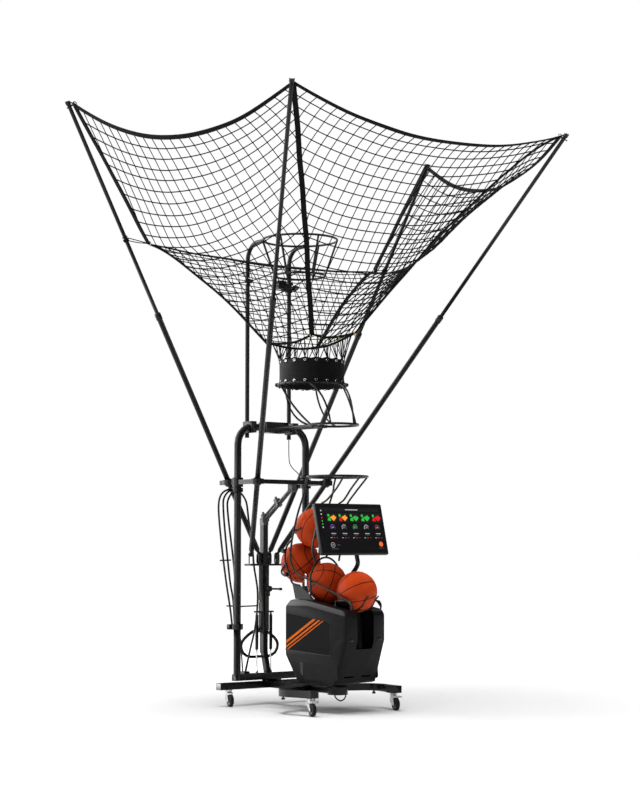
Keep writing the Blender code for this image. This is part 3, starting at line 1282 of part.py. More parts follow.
def basketball(number):
    # hollow skin, open only at its valve hole
    bm, place = ball_sphere(number)
    pole = max(bm.verts, key=lambda vert: vert.co.z)
    rim = [edge.other_vert(pole) for edge in pole.link_edges]
    bmesh.ops.delete(bm, geom=[pole], context="VERTS")
    for vert in rim:
        flat = Vector((vert.co.x, vert.co.y, 0)).normalized()
        vert.co = flat * VALVE_RADIUS + Vector((0, 0, sqrt(BALL_RADIUS ** 2 - VALVE_RADIUS ** 2)))
    mesh = bpy.data.meshes.new("ball")
    bm.to_mesh(mesh)
    bm.free()
    obj = add_object("ball_" + str(number + 1), mesh, ball_rubber)
    obj.matrix_world = place
    skin = obj.modifiers.new("skin", "SOLIDIFY")
    skin.thickness = BALL_WALL
    skin.offset = -1.0
    smooth(obj)


def tower_path():
    first, second, third, fourth = ball_centres()
    turn = ((second[0] + third[0]) / 2 - 0.040, (second[1] + third[1]) / 2 - 0.012)
    points = [(0.0, TOWER_RING_Z), (-0.040, TOWER_RING_Z - 0.080), (-0.125, 1.200), first,
              ((first[0] + second[0]) / 2 - 0.006, (first[1] + second[1]) / 2), second, turn, third,
              ((third[0] + fourth[0]) / 2, (third[1] + fourth[1]) / 2), fourth]
    return through([Vector((forward, 0, up)) for forward, up in points], 2)


def clear_of_balls(place, reach):
    # the same point, moved straight away from any ball that is nearer than the reach
    for forward, up in ball_centres():
        centre = Vector((forward, 0, up))
        if (place - centre).length < reach:
            place = centre + (place - centre).normalized() * reach
    return launcher_point(place.x, place.y, place.z)


def tower_rod(path, angle, first, last):
    # wire beside the ball path: angle 0 is on the outer, lower side and 90 degrees is the left side
    reach = BALL_RADIUS + TOWER_WIRE_RADIUS + PATH_CLEARANCE
    points = []
    for i in range(first, last + 1):
        before, after = path[max(i - 1, 0)], path[min(i + 1, len(path) - 1)]
        along = (after - before).normalized()
        out = Vector((0, 1, 0)).cross(along)
        place = path[i] + (out * cos(angle) + Vector((0, 1, 0)) * sin(angle)) * reach
        points.append(clear_of_balls(place, reach))
    return points


def tower_hoop(path, index, low, high, extra=0.006):
    reach = BALL_RADIUS + TOWER_WIRE_RADIUS + PATH_CLEARANCE + extra
    along = (path[index + 1] - path[index - 1]).normalized()
    out = Vector((0, 1, 0)).cross(along)
    points = []
    for i in range(10):
        angle = low + (high - low) * i / 9
        place = path[index] + (out * cos(angle) + Vector((0, 1, 0)) * sin(angle)) * reach
        points.append(clear_of_balls(place, reach))
    return points


def ball_tower():
    path = tower_path()
    last = len(path) - 1
    ring_at = launcher_point(0, 0, TOWER_RING_Z)
    pieces = [ring("ring", ring_at, TOWER_RING_RADIUS, 0.006, 28)]
    for angle, first, stop in ((radians(25), 3, last - 3), (radians(-25), 3, last - 3),
                               (radians(90), 3, last - 1),
                               (radians(-90), 3, last - 1), (radians(135), 4, 9), (radians(-135), 4, 9)):
        points = tower_rod(path, angle, first, stop)
        flat = points[0] - ring_at
        flat.z = 0
        start = ring_at + flat.normalized() * TOWER_RING_RADIUS
        middle = (start + points[0]) / 2 + flat.normalized() * 0.006
        pieces.append(wire("rod", [start, middle] + points, TOWER_WIRE_RADIUS))
    pieces.append(wire("band", tower_hoop(path, 7, radians(-100), radians(100)), TOWER_WIRE_RADIUS))
    pieces.append(wire("band", tower_hoop(path, 11, radians(-100), radians(100)), TOWER_WIRE_RADIUS))
    pieces.append(wire("arch", tower_hoop(path, 14, radians(80), radians(280)), TOWER_WIRE_RADIUS))
    pieces.append(wire("cradle", tower_hoop(path, 14, radians(-86), radians(86)), TOWER_WIRE_RADIUS))
    deck = HOUSING_TOP + SEAT_GAP
    for side in (1, -1):
        pieces.append(launcher_box("foot", (-0.212, side * 0.1275 - 0.014, deck),
                                   (-0.100, side * 0.1275 + 0.014, deck + 0.005)))
        outline = [(-0.206, deck + 0.003), (-0.104, deck + 0.003), (-0.150, 0.735), (-0.215, 0.800),
                   (-0.246, 0.800)]
        pieces.append(plate("gusset", outline, 0.005, side_view_place(side * 0.1275)))
    return smooth(join("ball_tower", pieces))


def steady_arm():
    z = TOWER_RING_Z
    ring_at = launcher_point(0, 0, z)
    leg = Vector((UPRIGHT_X, UPRIGHT_HALF_WIDTH, z + 0.024))
    toward = (ring_at - leg)
    toward.z = 0
    toward.normalize()
    edge = ring_at - toward * (TOWER_RING_RADIUS + 0.006)
    pieces = [rod("arm", leg, edge - toward * 0.010, 0.008, steps=12),
              rod("clamp", leg - Vector((0, 0, 0.013)), leg + Vector((0, 0, 0.013)), 0.034),
              bar("pad", edge - toward * 0.028 + Vector((0, 0, 0.002)),
                  edge + toward * 0.004 + Vector((0, 0, 0.002)), 0.050, 0.012)]
    holes = [upright_hole(),
             rod("groove", ring_at - Vector((0, 0, 0.1)), ring_at + Vector((0, 0, 0.1)),
                 TOWER_RING_RADIUS + 0.006 + 8 * SEAT_GAP, steps=96)]
    return smooth(cut(join("ring_steady_arm", pieces), holes))


# Display

def display_place():
    # local X is the screen's normal, local Y its width and local Z its height
    return Matrix.Translation(DISPLAY_CENTRE) @ Matrix.Rotation(-DISPLAY_TILT, 4, "Y")


def display_hinge_point():
    point = display_place() @ Vector((-DISPLAY_DEPTH / 2 - DISPLAY_HINGE_BACK, 0, -0.030))
    return Vector((point.x, DISPLAY_HINGE_Y, point.z))


def display_panel():
    place = display_place()
    half_depth = DISPLAY_DEPTH / 2
    body = box("display_panel", (-half_depth, -DISPLAY_WIDTH / 2, -DISPLAY_HEIGHT / 2),
               (half_depth, DISPLAY_WIDTH / 2, DISPLAY_HEIGHT / 2), plastic)
    soften = body.modifiers.new("edges", "BEVEL")
    soften.width = 0.008
    soften.segments = 2
    recess = box("recess", (half_depth - SCREEN_THICKNESS - 2 * SEAT_GAP, -SCREEN_WIDTH / 2 - SEAT_GAP,
                            -SCREEN_HEIGHT / 2 - SEAT_GAP),
                 (half_depth + 0.01, SCREEN_WIDTH / 2 + SEAT_GAP, SCREEN_HEIGHT / 2 + SEAT_GAP))
    body = cut(body, [recess])
    body.data.transform(place)
    hinge = display_hinge_point()
    back = place @ Vector((-half_depth, DISPLAY_HINGE_Y - DISPLAY_CENTRE[1], -0.030))
    pieces = [body]
    for side in (1, -1):
        y = DISPLAY_HINGE_Y + side * (0.022 + LUG_THICKNESS / 2)
        pieces.append(bar("lug", (hinge.x, y, hinge.z), (back.x + 0.010, y, back.z + 0.002), LUG_THICKNESS,
                          0.026))
        pieces.append(rod("lug_end", (hinge.x, y - LUG_THICKNESS / 2, hinge.z),
                          (hinge.x, y + LUG_THICKNESS / 2, hinge.z), 0.013, steps=12))
    pieces.append(rod("pin", (hinge.x, DISPLAY_HINGE_Y - 0.032, hinge.z),
                      (hinge.x, DISPLAY_HINGE_Y + 0.032, hinge.z), DISPLAY_PIN_RADIUS, steps=12))
    result = join("display_panel", pieces)
    smooth(result)


def display_screen():
    place = display_place()
    face = DISPLAY_DEPTH / 2 - SEAT_GAP
    body = box("display_screen", (face - SCREEN_THICKNESS, -SCREEN_WIDTH / 2 + SEAT_GAP,
                                  -SCREEN_HEIGHT / 2 + SEAT_GAP),
               (face, SCREEN_WIDTH / 2 - SEAT_GAP, SCREEN_HEIGHT / 2 - SEAT_GAP), glass)
    body.data.transform(place)


def display_arm():
    foot = display_foot()
    hinge = display_hinge_point()
    path = through([foot + Vector((0, 0, 0.620)), foot + Vector((0, 0, 0.700)),
                    foot + Vector((0.004, -0.002, 0.780)),
                    Vector((foot.x * 0.55 + hinge.x * 0.45, foot.y * 0.5 + hinge.y * 0.5, 0.880)),
                    Vector((hinge.x - 0.004, hinge.y, hinge.z - 0.070)), hinge - Vector((0.002, 0,
                                                                                         0.004))], 3)
    pieces = [wire("tube", path, DISPLAY_TUBE_RADIUS, resolution=1),
              rod("barrel", (hinge.x, hinge.y - 0.021, hinge.z), (hinge.x, hinge.y + 0.021, hinge.z),
                  DISPLAY_BARREL_RADIUS),
              rod("flange", foot + Vector((0, 0, HOUSING_TOP + 0.002)),
                  foot + Vector((0, 0, HOUSING_TOP + 0.008)), 0.024)]
    hole = rod("hole", (hinge.x, hinge.y - 0.1, hinge.z), (hinge.x, hinge.y + 0.1, hinge.z),
               DISPLAY_PIN_RADIUS + SEAT_GAP, steps=16)
    clear_lugs = [box("clear", (hinge.x - 0.04, hinge.y + side * 0.0215 - 0.0, hinge.z - 0.03),
                      (hinge.x + 0.04, hinge.y + side * 0.0215 + 0.010, hinge.z + 0.03)) for side in (1,)]
    clear_lugs.append(box("clear", (hinge.x - 0.04, hinge.y - 0.0315, hinge.z - 0.03),
                          (hinge.x + 0.04, hinge.y - 0.0215, hinge.z + 0.03)))
    return smooth(cut(join("display_arm", pieces), [hole] + clear_lugs))


# Leads

def leads():
    x, y = GOOSENECK_X, GOOSENECK_Y
    leg = (UPRIGHT_X, UPRIGHT_HALF_WIDTH)
    route = [(x, y, GOOSENECK_BOTTOM - SEAT_GAP), (x, y, 1.600), (x, y + 0.001, 1.540),
             (x + 0.002, y + 0.006, 1.490),
             (x + 0.008, y + 0.030, 1.455), (x + 0.010, y + 0.058, 1.434),
             (leg[0] - 0.026, leg[1] - 0.030, TOWER_RING_Z + 0.0376)]
    wire("sensor_lead", through(route, 3), 0.002, rubber)
    low = BAR_BOTTOM - 0.004 - 4 * SEAT_GAP
    start, end = (TURN_AXIS_X - 0.024, 0.0, low), (TURN_AXIS_X + 0.018, 0.046, low)
    route = [start, (start[0], start[1], low - 0.012), (start[0] + 0.010, start[1] + 0.010, low - 0.028),
             (start[0] + 0.024, start[1] + 0.024, low - 0.036), (end[0] - 0.006, end[1] - 0.008,
                                                                 low - 0.028),
             (end[0], end[1], low - 0.012), end]
    wire("turntable_cable", through(route, 3), 0.003, rubber)


def build():
    clear_scene()
    base_frame()
    corners = [("rear_right", REAR_BAR_X, -CASTER_Y, False), ("rear_left", REAR_BAR_X, CASTER_Y, False),
               ("front_right", FRONT_CASTER_X, -CASTER_Y, True), ("front_left", FRONT_CASTER_X, CASTER_Y, True)]
    for name, x, y, braked in corners:
        caster(name, x, y, braked)
    upright_frame()
    guide_beam()
    guide_post()
    lift_sleeve()
    lock_handle()
    gas_springs()
    ring_handle()
    for end, side in POLES:
        pole(end, side)
        guide_bush(end, side)
    diagonal_strut()
    wire_guard()
    gooseneck("left", 1)
    gooseneck("right", -1)
    counter_hoop()
    sensor_box()
    collar()
    upper_chute()
    net_funnel()
    turntable()
    housing_shell()
    side_panel("left", 1)
    side_panel("right", -1)
    chassis()
    arm_shaft()
    drive_motor()
    control_box()
    throw_arm()
    for number in range(4):
        basketball(number)
    ball_tower()
    steady_arm()
    display_panel()
    display_screen()
    display_arm()
    leads()


build()
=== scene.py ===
import bpy
import bmesh
import json
from math import acos, asin, atan2, ceil, cos, pi, radians, sin, sqrt
from mathutils import Matrix, Vector, noise

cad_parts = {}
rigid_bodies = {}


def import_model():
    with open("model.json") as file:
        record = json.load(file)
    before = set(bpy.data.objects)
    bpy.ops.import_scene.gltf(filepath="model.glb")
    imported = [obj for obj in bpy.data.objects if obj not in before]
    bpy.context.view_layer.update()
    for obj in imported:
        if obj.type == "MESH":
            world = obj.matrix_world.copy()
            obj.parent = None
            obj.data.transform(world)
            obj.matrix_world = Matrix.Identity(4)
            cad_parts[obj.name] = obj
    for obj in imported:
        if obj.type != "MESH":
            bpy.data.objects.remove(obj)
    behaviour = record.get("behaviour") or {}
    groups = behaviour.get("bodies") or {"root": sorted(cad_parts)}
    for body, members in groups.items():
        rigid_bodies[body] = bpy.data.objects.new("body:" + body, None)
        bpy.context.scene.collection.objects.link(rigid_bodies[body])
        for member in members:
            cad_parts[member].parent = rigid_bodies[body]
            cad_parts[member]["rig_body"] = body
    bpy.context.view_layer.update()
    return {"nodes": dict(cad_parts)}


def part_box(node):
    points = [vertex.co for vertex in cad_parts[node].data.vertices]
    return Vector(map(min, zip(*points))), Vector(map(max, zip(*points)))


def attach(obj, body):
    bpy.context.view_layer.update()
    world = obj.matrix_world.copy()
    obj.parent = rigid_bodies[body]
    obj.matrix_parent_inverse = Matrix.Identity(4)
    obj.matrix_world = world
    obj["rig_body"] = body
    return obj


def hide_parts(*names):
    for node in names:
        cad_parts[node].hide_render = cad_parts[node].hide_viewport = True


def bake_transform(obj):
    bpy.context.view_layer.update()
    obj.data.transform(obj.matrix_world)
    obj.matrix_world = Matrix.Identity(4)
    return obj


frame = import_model()
nodes = frame["nodes"]
scene = bpy.context.scene
print("frame loaded")

# Camera

cameraView = {"place": (8.2263, -6.704, 0.961), "pitch": 94.707, "heading": 51.56, "lens": 80.6}
cameraData = bpy.data.cameras.new("camera")
cameraData.lens = cameraView["lens"]
cameraData.sensor_width = 36
cameraData.clip_end = 200
camera = bpy.data.objects.new("camera", cameraData)
camera.location = cameraView["place"]
camera.rotation_euler = (radians(cameraView["pitch"]), 0, radians(cameraView["heading"]))
scene.collection.objects.link(camera)
scene.camera = camera


# Node helpers: each value is a number, a colour or the output of another node

def feed(tree, socket, value):
    if isinstance(value, bpy.types.NodeSocket):
        tree.links.new(value, socket)
    elif socket.type == "RGBA":
        socket.default_value = (*value, 1)
    else:
        socket.default_value = value


def addNode(tree, kind, values=None, **settings):
    node = tree.nodes.new("ShaderNode" + kind)
    for key, value in settings.items():
        setattr(node, key, value)
    for key, value in (values or {}).items():
        feed(tree, node.inputs[key], value)
    return node


def mathNode(tree, operation, *values, clamp=False):
    return addNode(tree, "Math", dict(enumerate(values)), operation=operation, use_clamp=clamp).outputs[0]


def mixColour(tree, mask, first, second):
    return addNode(tree, "Mix", {0: mask, 6: first, 7: second}, data_type="RGBA").outputs[2]


def newGroup(name, inputs, outputs):
    group = bpy.data.node_groups.new(name, "ShaderNodeTree")
    group.interface.new_socket(name="Vector", in_out="INPUT", socket_type="NodeSocketVector")
    for label, value in inputs.items():
        socket = group.interface.new_socket(name=label, in_out="INPUT", socket_type="NodeSocketFloat")
        socket.default_value = value
    for label in outputs:
        group.interface.new_socket(name=label, in_out="OUTPUT", socket_type="NodeSocketFloat")
    return group, group.nodes.new("NodeGroupInput").outputs, group.nodes.new("NodeGroupOutput").inputs


def placeGroup(tree, group, vector, **values):
    return addNode(tree, "Group", {"Vector": vector, **values}, node_tree=group).outputs


def newMaterial(name):
    material = bpy.data.materials.new(name)
    material.use_nodes = True
    tree = material.node_tree
    place = addNode(tree, "TexCoord").outputs["Object"]
    return material, tree, tree.nodes["Principled BSDF"].inputs, place


# Effects that several materials share

def makeGrainField():  # soft patches in the finish, and their height
    group, given, made = newGroup("grainField", {"Scale": 20.0, "Detail": 4.0, "Contrast": 2.0},
                                  ("Mask", "Height"))
    patches = addNode(group, "TexNoise",
                      {key: given[key] for key in ("Vector", "Scale", "Detail")}).outputs["Fac"]
    centred = mathNode(group, "SUBTRACT", patches, 0.5)
    feed(group, made["Mask"], mathNode(group, "MULTIPLY_ADD", centred, given["Contrast"], 0.5, clamp=True))
    feed(group, made["Height"], patches)
    return group


def makeStippleField():  # small rounded bumps: powder coat, moulded texture, ball pebble
    group, given, made = newGroup("stippleField", {"Scale": 500.0, "Spread": 0.5}, ("Height", "Mask"))
    cells = addNode(group, "TexVoronoi",
                    {"Vector": given["Vector"], "Scale": given["Scale"], "Smoothness": given["Spread"]},
                    feature="SMOOTH_F1")
    height = mathNode(group, "SUBTRACT", 1.0, cells.outputs["Distance"])
    feed(group, made["Height"], height)
    feed(group, made["Mask"], mathNode(group, "MULTIPLY", height, height))
    return group


def makeEdgeWearAndHighlight():  # rubbed corners with a painted highlight along them, broken up by a noise
    group, given, made = newGroup("edgeWearAndHighlight", {"Width": 0.0015, "Amount": 0.4}, ("Mask",))
    rounded = addNode(group, "Bevel", {"Radius": given["Width"]}, samples=3).outputs["Normal"]
    surface = addNode(group, "NewGeometry").outputs["Normal"]
    turned = addNode(group, "VectorMath", {0: rounded, 1: surface}, operation="DOT_PRODUCT").outputs["Value"]
    edge = mathNode(group, "MULTIPLY", mathNode(group, "SUBTRACT", 1.0, turned), 9.0, clamp=True)
    edgeBreakup = addNode(group, "TexNoise",
                   {"Vector": given["Vector"], "Scale": 45.0, "Detail": 5.0}).outputs["Fac"]
    broken = mathNode(group, "MULTIPLY_ADD", edgeBreakup, 3.0, -1.1, clamp=True)
    rubbedAndLit = mathNode(group, "MULTIPLY", edge, broken)
    feed(group, made["Mask"], mathNode(group, "MULTIPLY", rubbedAndLit, given["Amount"], clamp=True))
    return group


def makeDustFilm():  # thin dust on faces that look up
    group, given, made = newGroup("dustFilm", {"Amount": 0.1}, ("Mask",))
    apart = addNode(group, "SeparateXYZ", {0: addNode(group, "NewGeometry").outputs["Normal"]}).outputs
    upward = mathNode(group, "MULTIPLY_ADD", apart[2], 1.6, -0.6, clamp=True)
    specks = addNode(group, "TexNoise",
                     {"Vector": given["Vector"], "Scale": 16.0, "Detail": 7.0,
                      "Roughness": 0.7}).outputs["Fac"]
    cloud = mathNode(group, "MULTIPLY_ADD", specks, 2.4, -0.7, clamp=True)
    feed(group, made["Mask"], mathNode(group, "MULTIPLY", mathNode(group, "MULTIPLY", upward, cloud),
                                       given["Amount"]))
    return group


def makeWeaveField():  # crossed threads of webbing, cord braid and coated cloth
    group, given, made = newGroup("weaveField", {"Scale": 300.0}, ("Height",))
    waves = []
    for direction in ("X", "Z"):
        wave = addNode(group, "TexWave",
                       {"Vector": given["Vector"], "Scale": given["Scale"], "Distortion": 1.2, "Detail": 1.0},
                       bands_direction=direction)
        waves.append(wave.outputs["Fac"])
    feed(group, made["Height"], mathNode(group, "MAXIMUM", *waves))
    return group


grainField = makeGrainField()
stippleField = makeStippleField()
edgeWearAndHighlight = makeEdgeWearAndHighlight()
dustFilm = makeDustFilm()
weaveField = makeWeaveField()
dustColour = (0.34, 0.33, 0.31)


# Materials: colour from patches, rubbed edges with a painted edge highlight, and dust, roughness from
# patches, bump from a fine texture

def makeFinish(name, first, second, roughness, textureScale, depth, look):
    material, tree, shader, place = newMaterial(name)
    patches = placeGroup(tree, grainField, place, Scale=look.get("patchScale", 14.0), Detail=5.0,
                         Contrast=2.2)
    colour = mixColour(tree, patches["Mask"], first, second)
    # edges drawn lighter: partly rubbed wear, partly a painted highlight along them
    if "wearAndHighlight" in look:
        wornAndLit = placeGroup(tree, edgeWearAndHighlight, place, Width=look.get("wearHighlightWidth", 0.0016), Amount=look["wearAndHighlight"])
        colour = mixColour(tree, wornAndLit["Mask"], colour, look["wearHighlightColour"])
    if "dust" in look:
        dusty = placeGroup(tree, dustFilm, place, Amount=look["dust"])
        colour = mixColour(tree, dusty["Mask"], colour, dustColour)
    low, high = roughness
    fine = {"stipple": stippleField, "weave": weaveField, "grain": grainField}[look.get("texture", "stipple")]
    bump = addNode(tree, "Bump", {"Height": placeGroup(tree, fine, place, Scale=textureScale)["Height"],
                                  "Strength": look.get("bump", 0.4), "Distance": depth})
    finish = {"Metallic": look.get("metallic", 0.0), "Specular IOR Level": look.get("gloss", 0.5),
              "Base Color": colour, "Roughness": mathNode(tree, "MULTIPLY_ADD", patches["Mask"], high - low,
                                                          low), "Normal": bump.outputs["Normal"]}
    for key, value in finish.items():
        feed(tree, shader[key], value)
    return material


# Two colours, roughness from and to, the fine texture's scale and depth in metres, and what else differs
# each wear colour is lighter than its finish: rubbed edges and a painted edge highlight
finishes = {
    "blackPaint": ((0.0036, 0.0036, 0.0038), (0.0062, 0.0062, 0.0064), (0.2, 0.3), 700.0, 0.00015,
                   {"gloss": 0.27, "wearAndHighlight": 0.3, "wearHighlightColour": (0.055, 0.055, 0.058), "dust": 0.02}),
    "poleFinish": ((0.005, 0.005, 0.0054), (0.0085, 0.0085, 0.009), (0.22, 0.32), 260.0, 0.00012,
                   {"gloss": 0.25, "texture": "grain", "dust": 0.015}),
    "wirePaint": ((0.0034, 0.0034, 0.0036), (0.0058, 0.0058, 0.006), (0.22, 0.32), 800.0, 0.0001,
                  {"gloss": 0.26}),
    "zincPlate": ((0.62, 0.63, 0.65), (0.5, 0.51, 0.54), (0.22, 0.4), 320.0, 0.0001,
                  {"metallic": 1.0, "wearAndHighlight": 0.3, "wearHighlightColour": (0.82, 0.82, 0.83),
                   "texture": "grain"}),
    "brightSteel": ((0.66, 0.66, 0.67), (0.54, 0.54, 0.56), (0.14, 0.28), 500.0, 0.00006,
                    {"metallic": 1.0, "texture": "grain"}),
    "greyCast": ((0.27, 0.27, 0.28), (0.2, 0.2, 0.21), (0.38, 0.52), 620.0, 0.0002,
                 {"metallic": 0.9}),
    "brass": ((0.62, 0.46, 0.2), (0.5, 0.36, 0.15), (0.24, 0.4), 400.0, 0.00008,
              {"metallic": 1.0, "texture": "grain"}),
    "nickel": ((0.8, 0.78, 0.72), (0.68, 0.66, 0.6), (0.2, 0.34), 400.0, 0.00008,
               {"metallic": 1.0, "texture": "grain"}),
    "tyreRubber": ((0.007, 0.007, 0.007), (0.013, 0.013, 0.0125), (0.55, 0.75), 520.0, 0.00035,
                   {"gloss": 0.22, "dust": 0.12}),
    "cableRubber": ((0.0055, 0.0055, 0.0055), (0.0095, 0.0095, 0.0095), (0.42, 0.58), 420.0, 0.0001,
                    {"gloss": 0.3, "texture": "grain"}),
    "mouldedPlastic": ((0.0078, 0.0078, 0.0082), (0.0112, 0.0112, 0.0117), (0.36, 0.48), 430.0, 0.0005,
                       {"gloss": 0.07, "wearAndHighlight": 0.25, "wearHighlightColour": (0.07, 0.07, 0.072),
                        "wearHighlightWidth": 0.002, "dust": 0.02, "bump": 0.55}),
    "deckPlastic": ((0.0034, 0.0034, 0.0036), (0.0055, 0.0055, 0.0058), (0.24, 0.34), 520.0, 0.00025,
                    {"gloss": 0.3}),
    "displayPlastic": ((0.0044, 0.0044, 0.0047), (0.007, 0.007, 0.0074), (0.3, 0.42), 640.0, 0.0002,
                       {"gloss": 0.26}),
    "vinylCloth": ((0.0024, 0.0024, 0.0024), (0.0042, 0.0042, 0.0042), (0.44, 0.6), 330.0, 0.0003,
                   {"gloss": 0.1, "texture": "weave", "bump": 0.5}),
    "netTwine": ((0.004, 0.004, 0.0043), (0.008, 0.008, 0.0084), (0.7, 0.88), 520.0, 0.0004,
                 {"gloss": 0.08, "patchScale": 60.0, "texture": "weave", "bump": 0.6}),
    "webbing": ((0.0036, 0.0036, 0.0038), (0.0068, 0.0068, 0.007), (0.66, 0.84), 260.0, 0.0008,
                {"gloss": 0.08, "patchScale": 40.0, "texture": "weave", "bump": 0.7}),
    "nylon": ((0.012, 0.012, 0.0125), (0.02, 0.02, 0.0205), (0.36, 0.48), 300.0, 0.00015,
              {"gloss": 0.4, "texture": "grain"}),
    # black paint of the diagonal strut drawn lighter grey: a painted highlight for the light its faces catch
    "strutPaintedHighlightGrey": ((0.05, 0.05, 0.052), (0.038, 0.038, 0.04), (0.28, 0.4), 640.0, 0.0001,
                  {"gloss": 0.55, "wearAndHighlight": 0.3, "wearHighlightColour": (0.16, 0.16, 0.165)}),
    "paleCap": ((0.55, 0.55, 0.54), (0.46, 0.46, 0.45), (0.4, 0.55), 300.0, 0.0001,
                {"gloss": 0.5, "texture": "grain"}),
    "yellowTag": ((0.62, 0.47, 0.03), (0.52, 0.38, 0.03), (0.45, 0.6), 300.0, 0.0001,
                  {"gloss": 0.4, "texture": "grain"}),
}
paint = {name: makeFinish(name, *look) for name, look in finishes.items()}
print("materials made")


# Mesh helpers

def at(x, y, z):
    return Matrix.Translation((x, y, z))


def sideWord(side):
    return "left" if side > 0 else "right"


def finishPiece(name, bm, materials, body=None, stands=(), angle=35):  # body may be a node's name
    mesh = bpy.data.meshes.new(name)
    bm.to_mesh(mesh)
    bm.free()
    for material in materials if isinstance(materials, list) else [materials]:
        mesh.materials.append(material)
    mesh.shade_smooth()
    mesh.set_sharp_from_angle(angle=radians(angle))
    piece = bpy.data.objects.new(name, mesh)
    scene.collection.objects.link(piece)
    if body:
        body = nodes[body]["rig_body"] if body in nodes else body
        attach(piece, body)
    if stands:
        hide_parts(*stands)
    return piece


def softenEdges(piece, width):
    soft = piece.modifiers.new("soft_edges", "BEVEL")
    soft.width = width
    soft.segments = 2
    soft.limit_method = "ANGLE"
    soft.angle_limit = radians(40)
    soft.harden_normals = True


def joinMesh(bm, mesh, material):  # adds the mesh to bm and drops it
    for face in mesh.polygons:
        face.material_index = material
    bm.from_mesh(mesh)
    bpy.data.meshes.remove(mesh)


def meshOf(curve):  # the curve's mesh, and the curve is dropped
    holder = bpy.data.objects.new("path", curve)
    scene.collection.objects.link(holder)
    mesh = bpy.data.meshes.new_from_object(holder.evaluated_get(bpy.context.evaluated_depsgraph_get()))
    bpy.data.objects.remove(holder)
    bpy.data.curves.remove(curve)
    return mesh


def addCords(bm, paths, radius, detail=1, material=0, closed=False):
    curve = bpy.data.curves.new("path", "CURVE")
    curve.dimensions = "3D"
    curve.bevel_depth = radius
    curve.bevel_resolution = detail
    curve.use_fill_caps = not closed
    for points in paths:
        spline = curve.splines.new("POLY")
        spline.points.add(len(points) - 1)
        for spot, point in zip(spline.points, points):
            spot.co = (*point, 1)
        spline.use_cyclic_u = closed
    joinMesh(bm, meshOf(curve), material)


def smoothPath(points, steps=6):  # a curve through every point
    points = [Vector(point) for point in points]
    ends = [2 * points[0] - points[1]] + points + [2 * points[-1] - points[-2]]
    path = []
    for a, b, c, d in zip(ends, ends[1:], ends[2:], ends[3:]):
        for i in range(steps):
            t = i / steps
            square, cube = (2 * a - 5 * b + 4 * c - d) * t ** 2, (3 * b - a - 3 * c + d) * t ** 3
            path.append(0.5 * (2 * b + (c - a) * t + square + cube))
    return path + [points[-1]]


def axisMatrix(start, end):  # local Z from start towards end
    start, end = Vector(start), Vector(end)
    turn = Vector((0, 0, 1)).rotation_difference(end - start).to_matrix().to_4x4()
    return Matrix.Translation(start) @ turn


def addTurned(bm, profile, place, steps=24, material=0):  # profile of (radius, height) round local Z
    part = bmesh.new()
    corners = [part.verts.new((max(radius, 0), 0, height)) for radius, height in profile]
    edges = [part.edges.new(pair) for pair in zip(corners, corners[1:])]
    bmesh.ops.spin(part, geom=corners + edges, cent=(0, 0, 0), axis=(0, 0, 1), angle=2 * pi, steps=steps,
                   use_merge=True)
    bmesh.ops.remove_doubles(part, verts=part.verts, dist=1e-6)
    bmesh.ops.recalc_face_normals(part, faces=part.faces)
    bmesh.ops.transform(part, matrix=place, verts=part.verts)
    mesh = bpy.data.meshes.new("part")
    part.to_mesh(mesh)
    part.free()
    joinMesh(bm, mesh, material)


def addRing(bm, place, radius, thickness, steps=24, sides=8, material=0):
    turns = [2 * pi * i / sides for i in range(sides + 1)]
    profile = [(radius + thickness * cos(turn), thickness * sin(turn)) for turn in turns]
    addTurned(bm, profile, place, steps, material)


def sleeve(inner, outer, height):  # profile of a plain bored cylinder
    return [(inner, 0), (outer, 0), (outer, height), (inner, height), (inner, 0)]


def addBlock(bm, place, size, bevel, material=0):
    made = bmesh.ops.create_cube(bm, size=1.0, matrix=place @ Matrix.Diagonal((*size, 1)))
    faces = list({face for corner in made["verts"] for face in corner.link_faces})
    for face in faces:
        face.material_index = material
    edges = list({edge for face in faces for edge in face.edges})
    bmesh.ops.bevel(bm, geom=edges, offset=bevel, segments=2, profile=0.5, affect="EDGES", material=-1)


# CAD nodes whose shape is right: merged, smoothly shaded and given their finish

def nodeMesh(name, edge=0.0, swell=0.0):  # for soft edges the flat cuts are dissolved first
    bm = bmesh.new()
    bm.from_mesh(nodes[name].data)
    bmesh.ops.remove_doubles(bm, verts=bm.verts, dist=1e-5)
    if swell:
        bm.normal_update()
        for corner, normal in [(corner, corner.normal.copy()) for corner in bm.verts]:
            corner.co += normal * swell
    if edge:
        bmesh.ops.dissolve_limit(bm, angle_limit=radians(0.6), verts=bm.verts, edges=bm.edges)
    return bm


def dressNode(name, materials, edge=0.0, swell=0.0):
    piece = finishPiece(name + "_finish", nodeMesh(name, edge, swell), materials, name, [name])
    if edge:
        softenEdges(piece, edge)


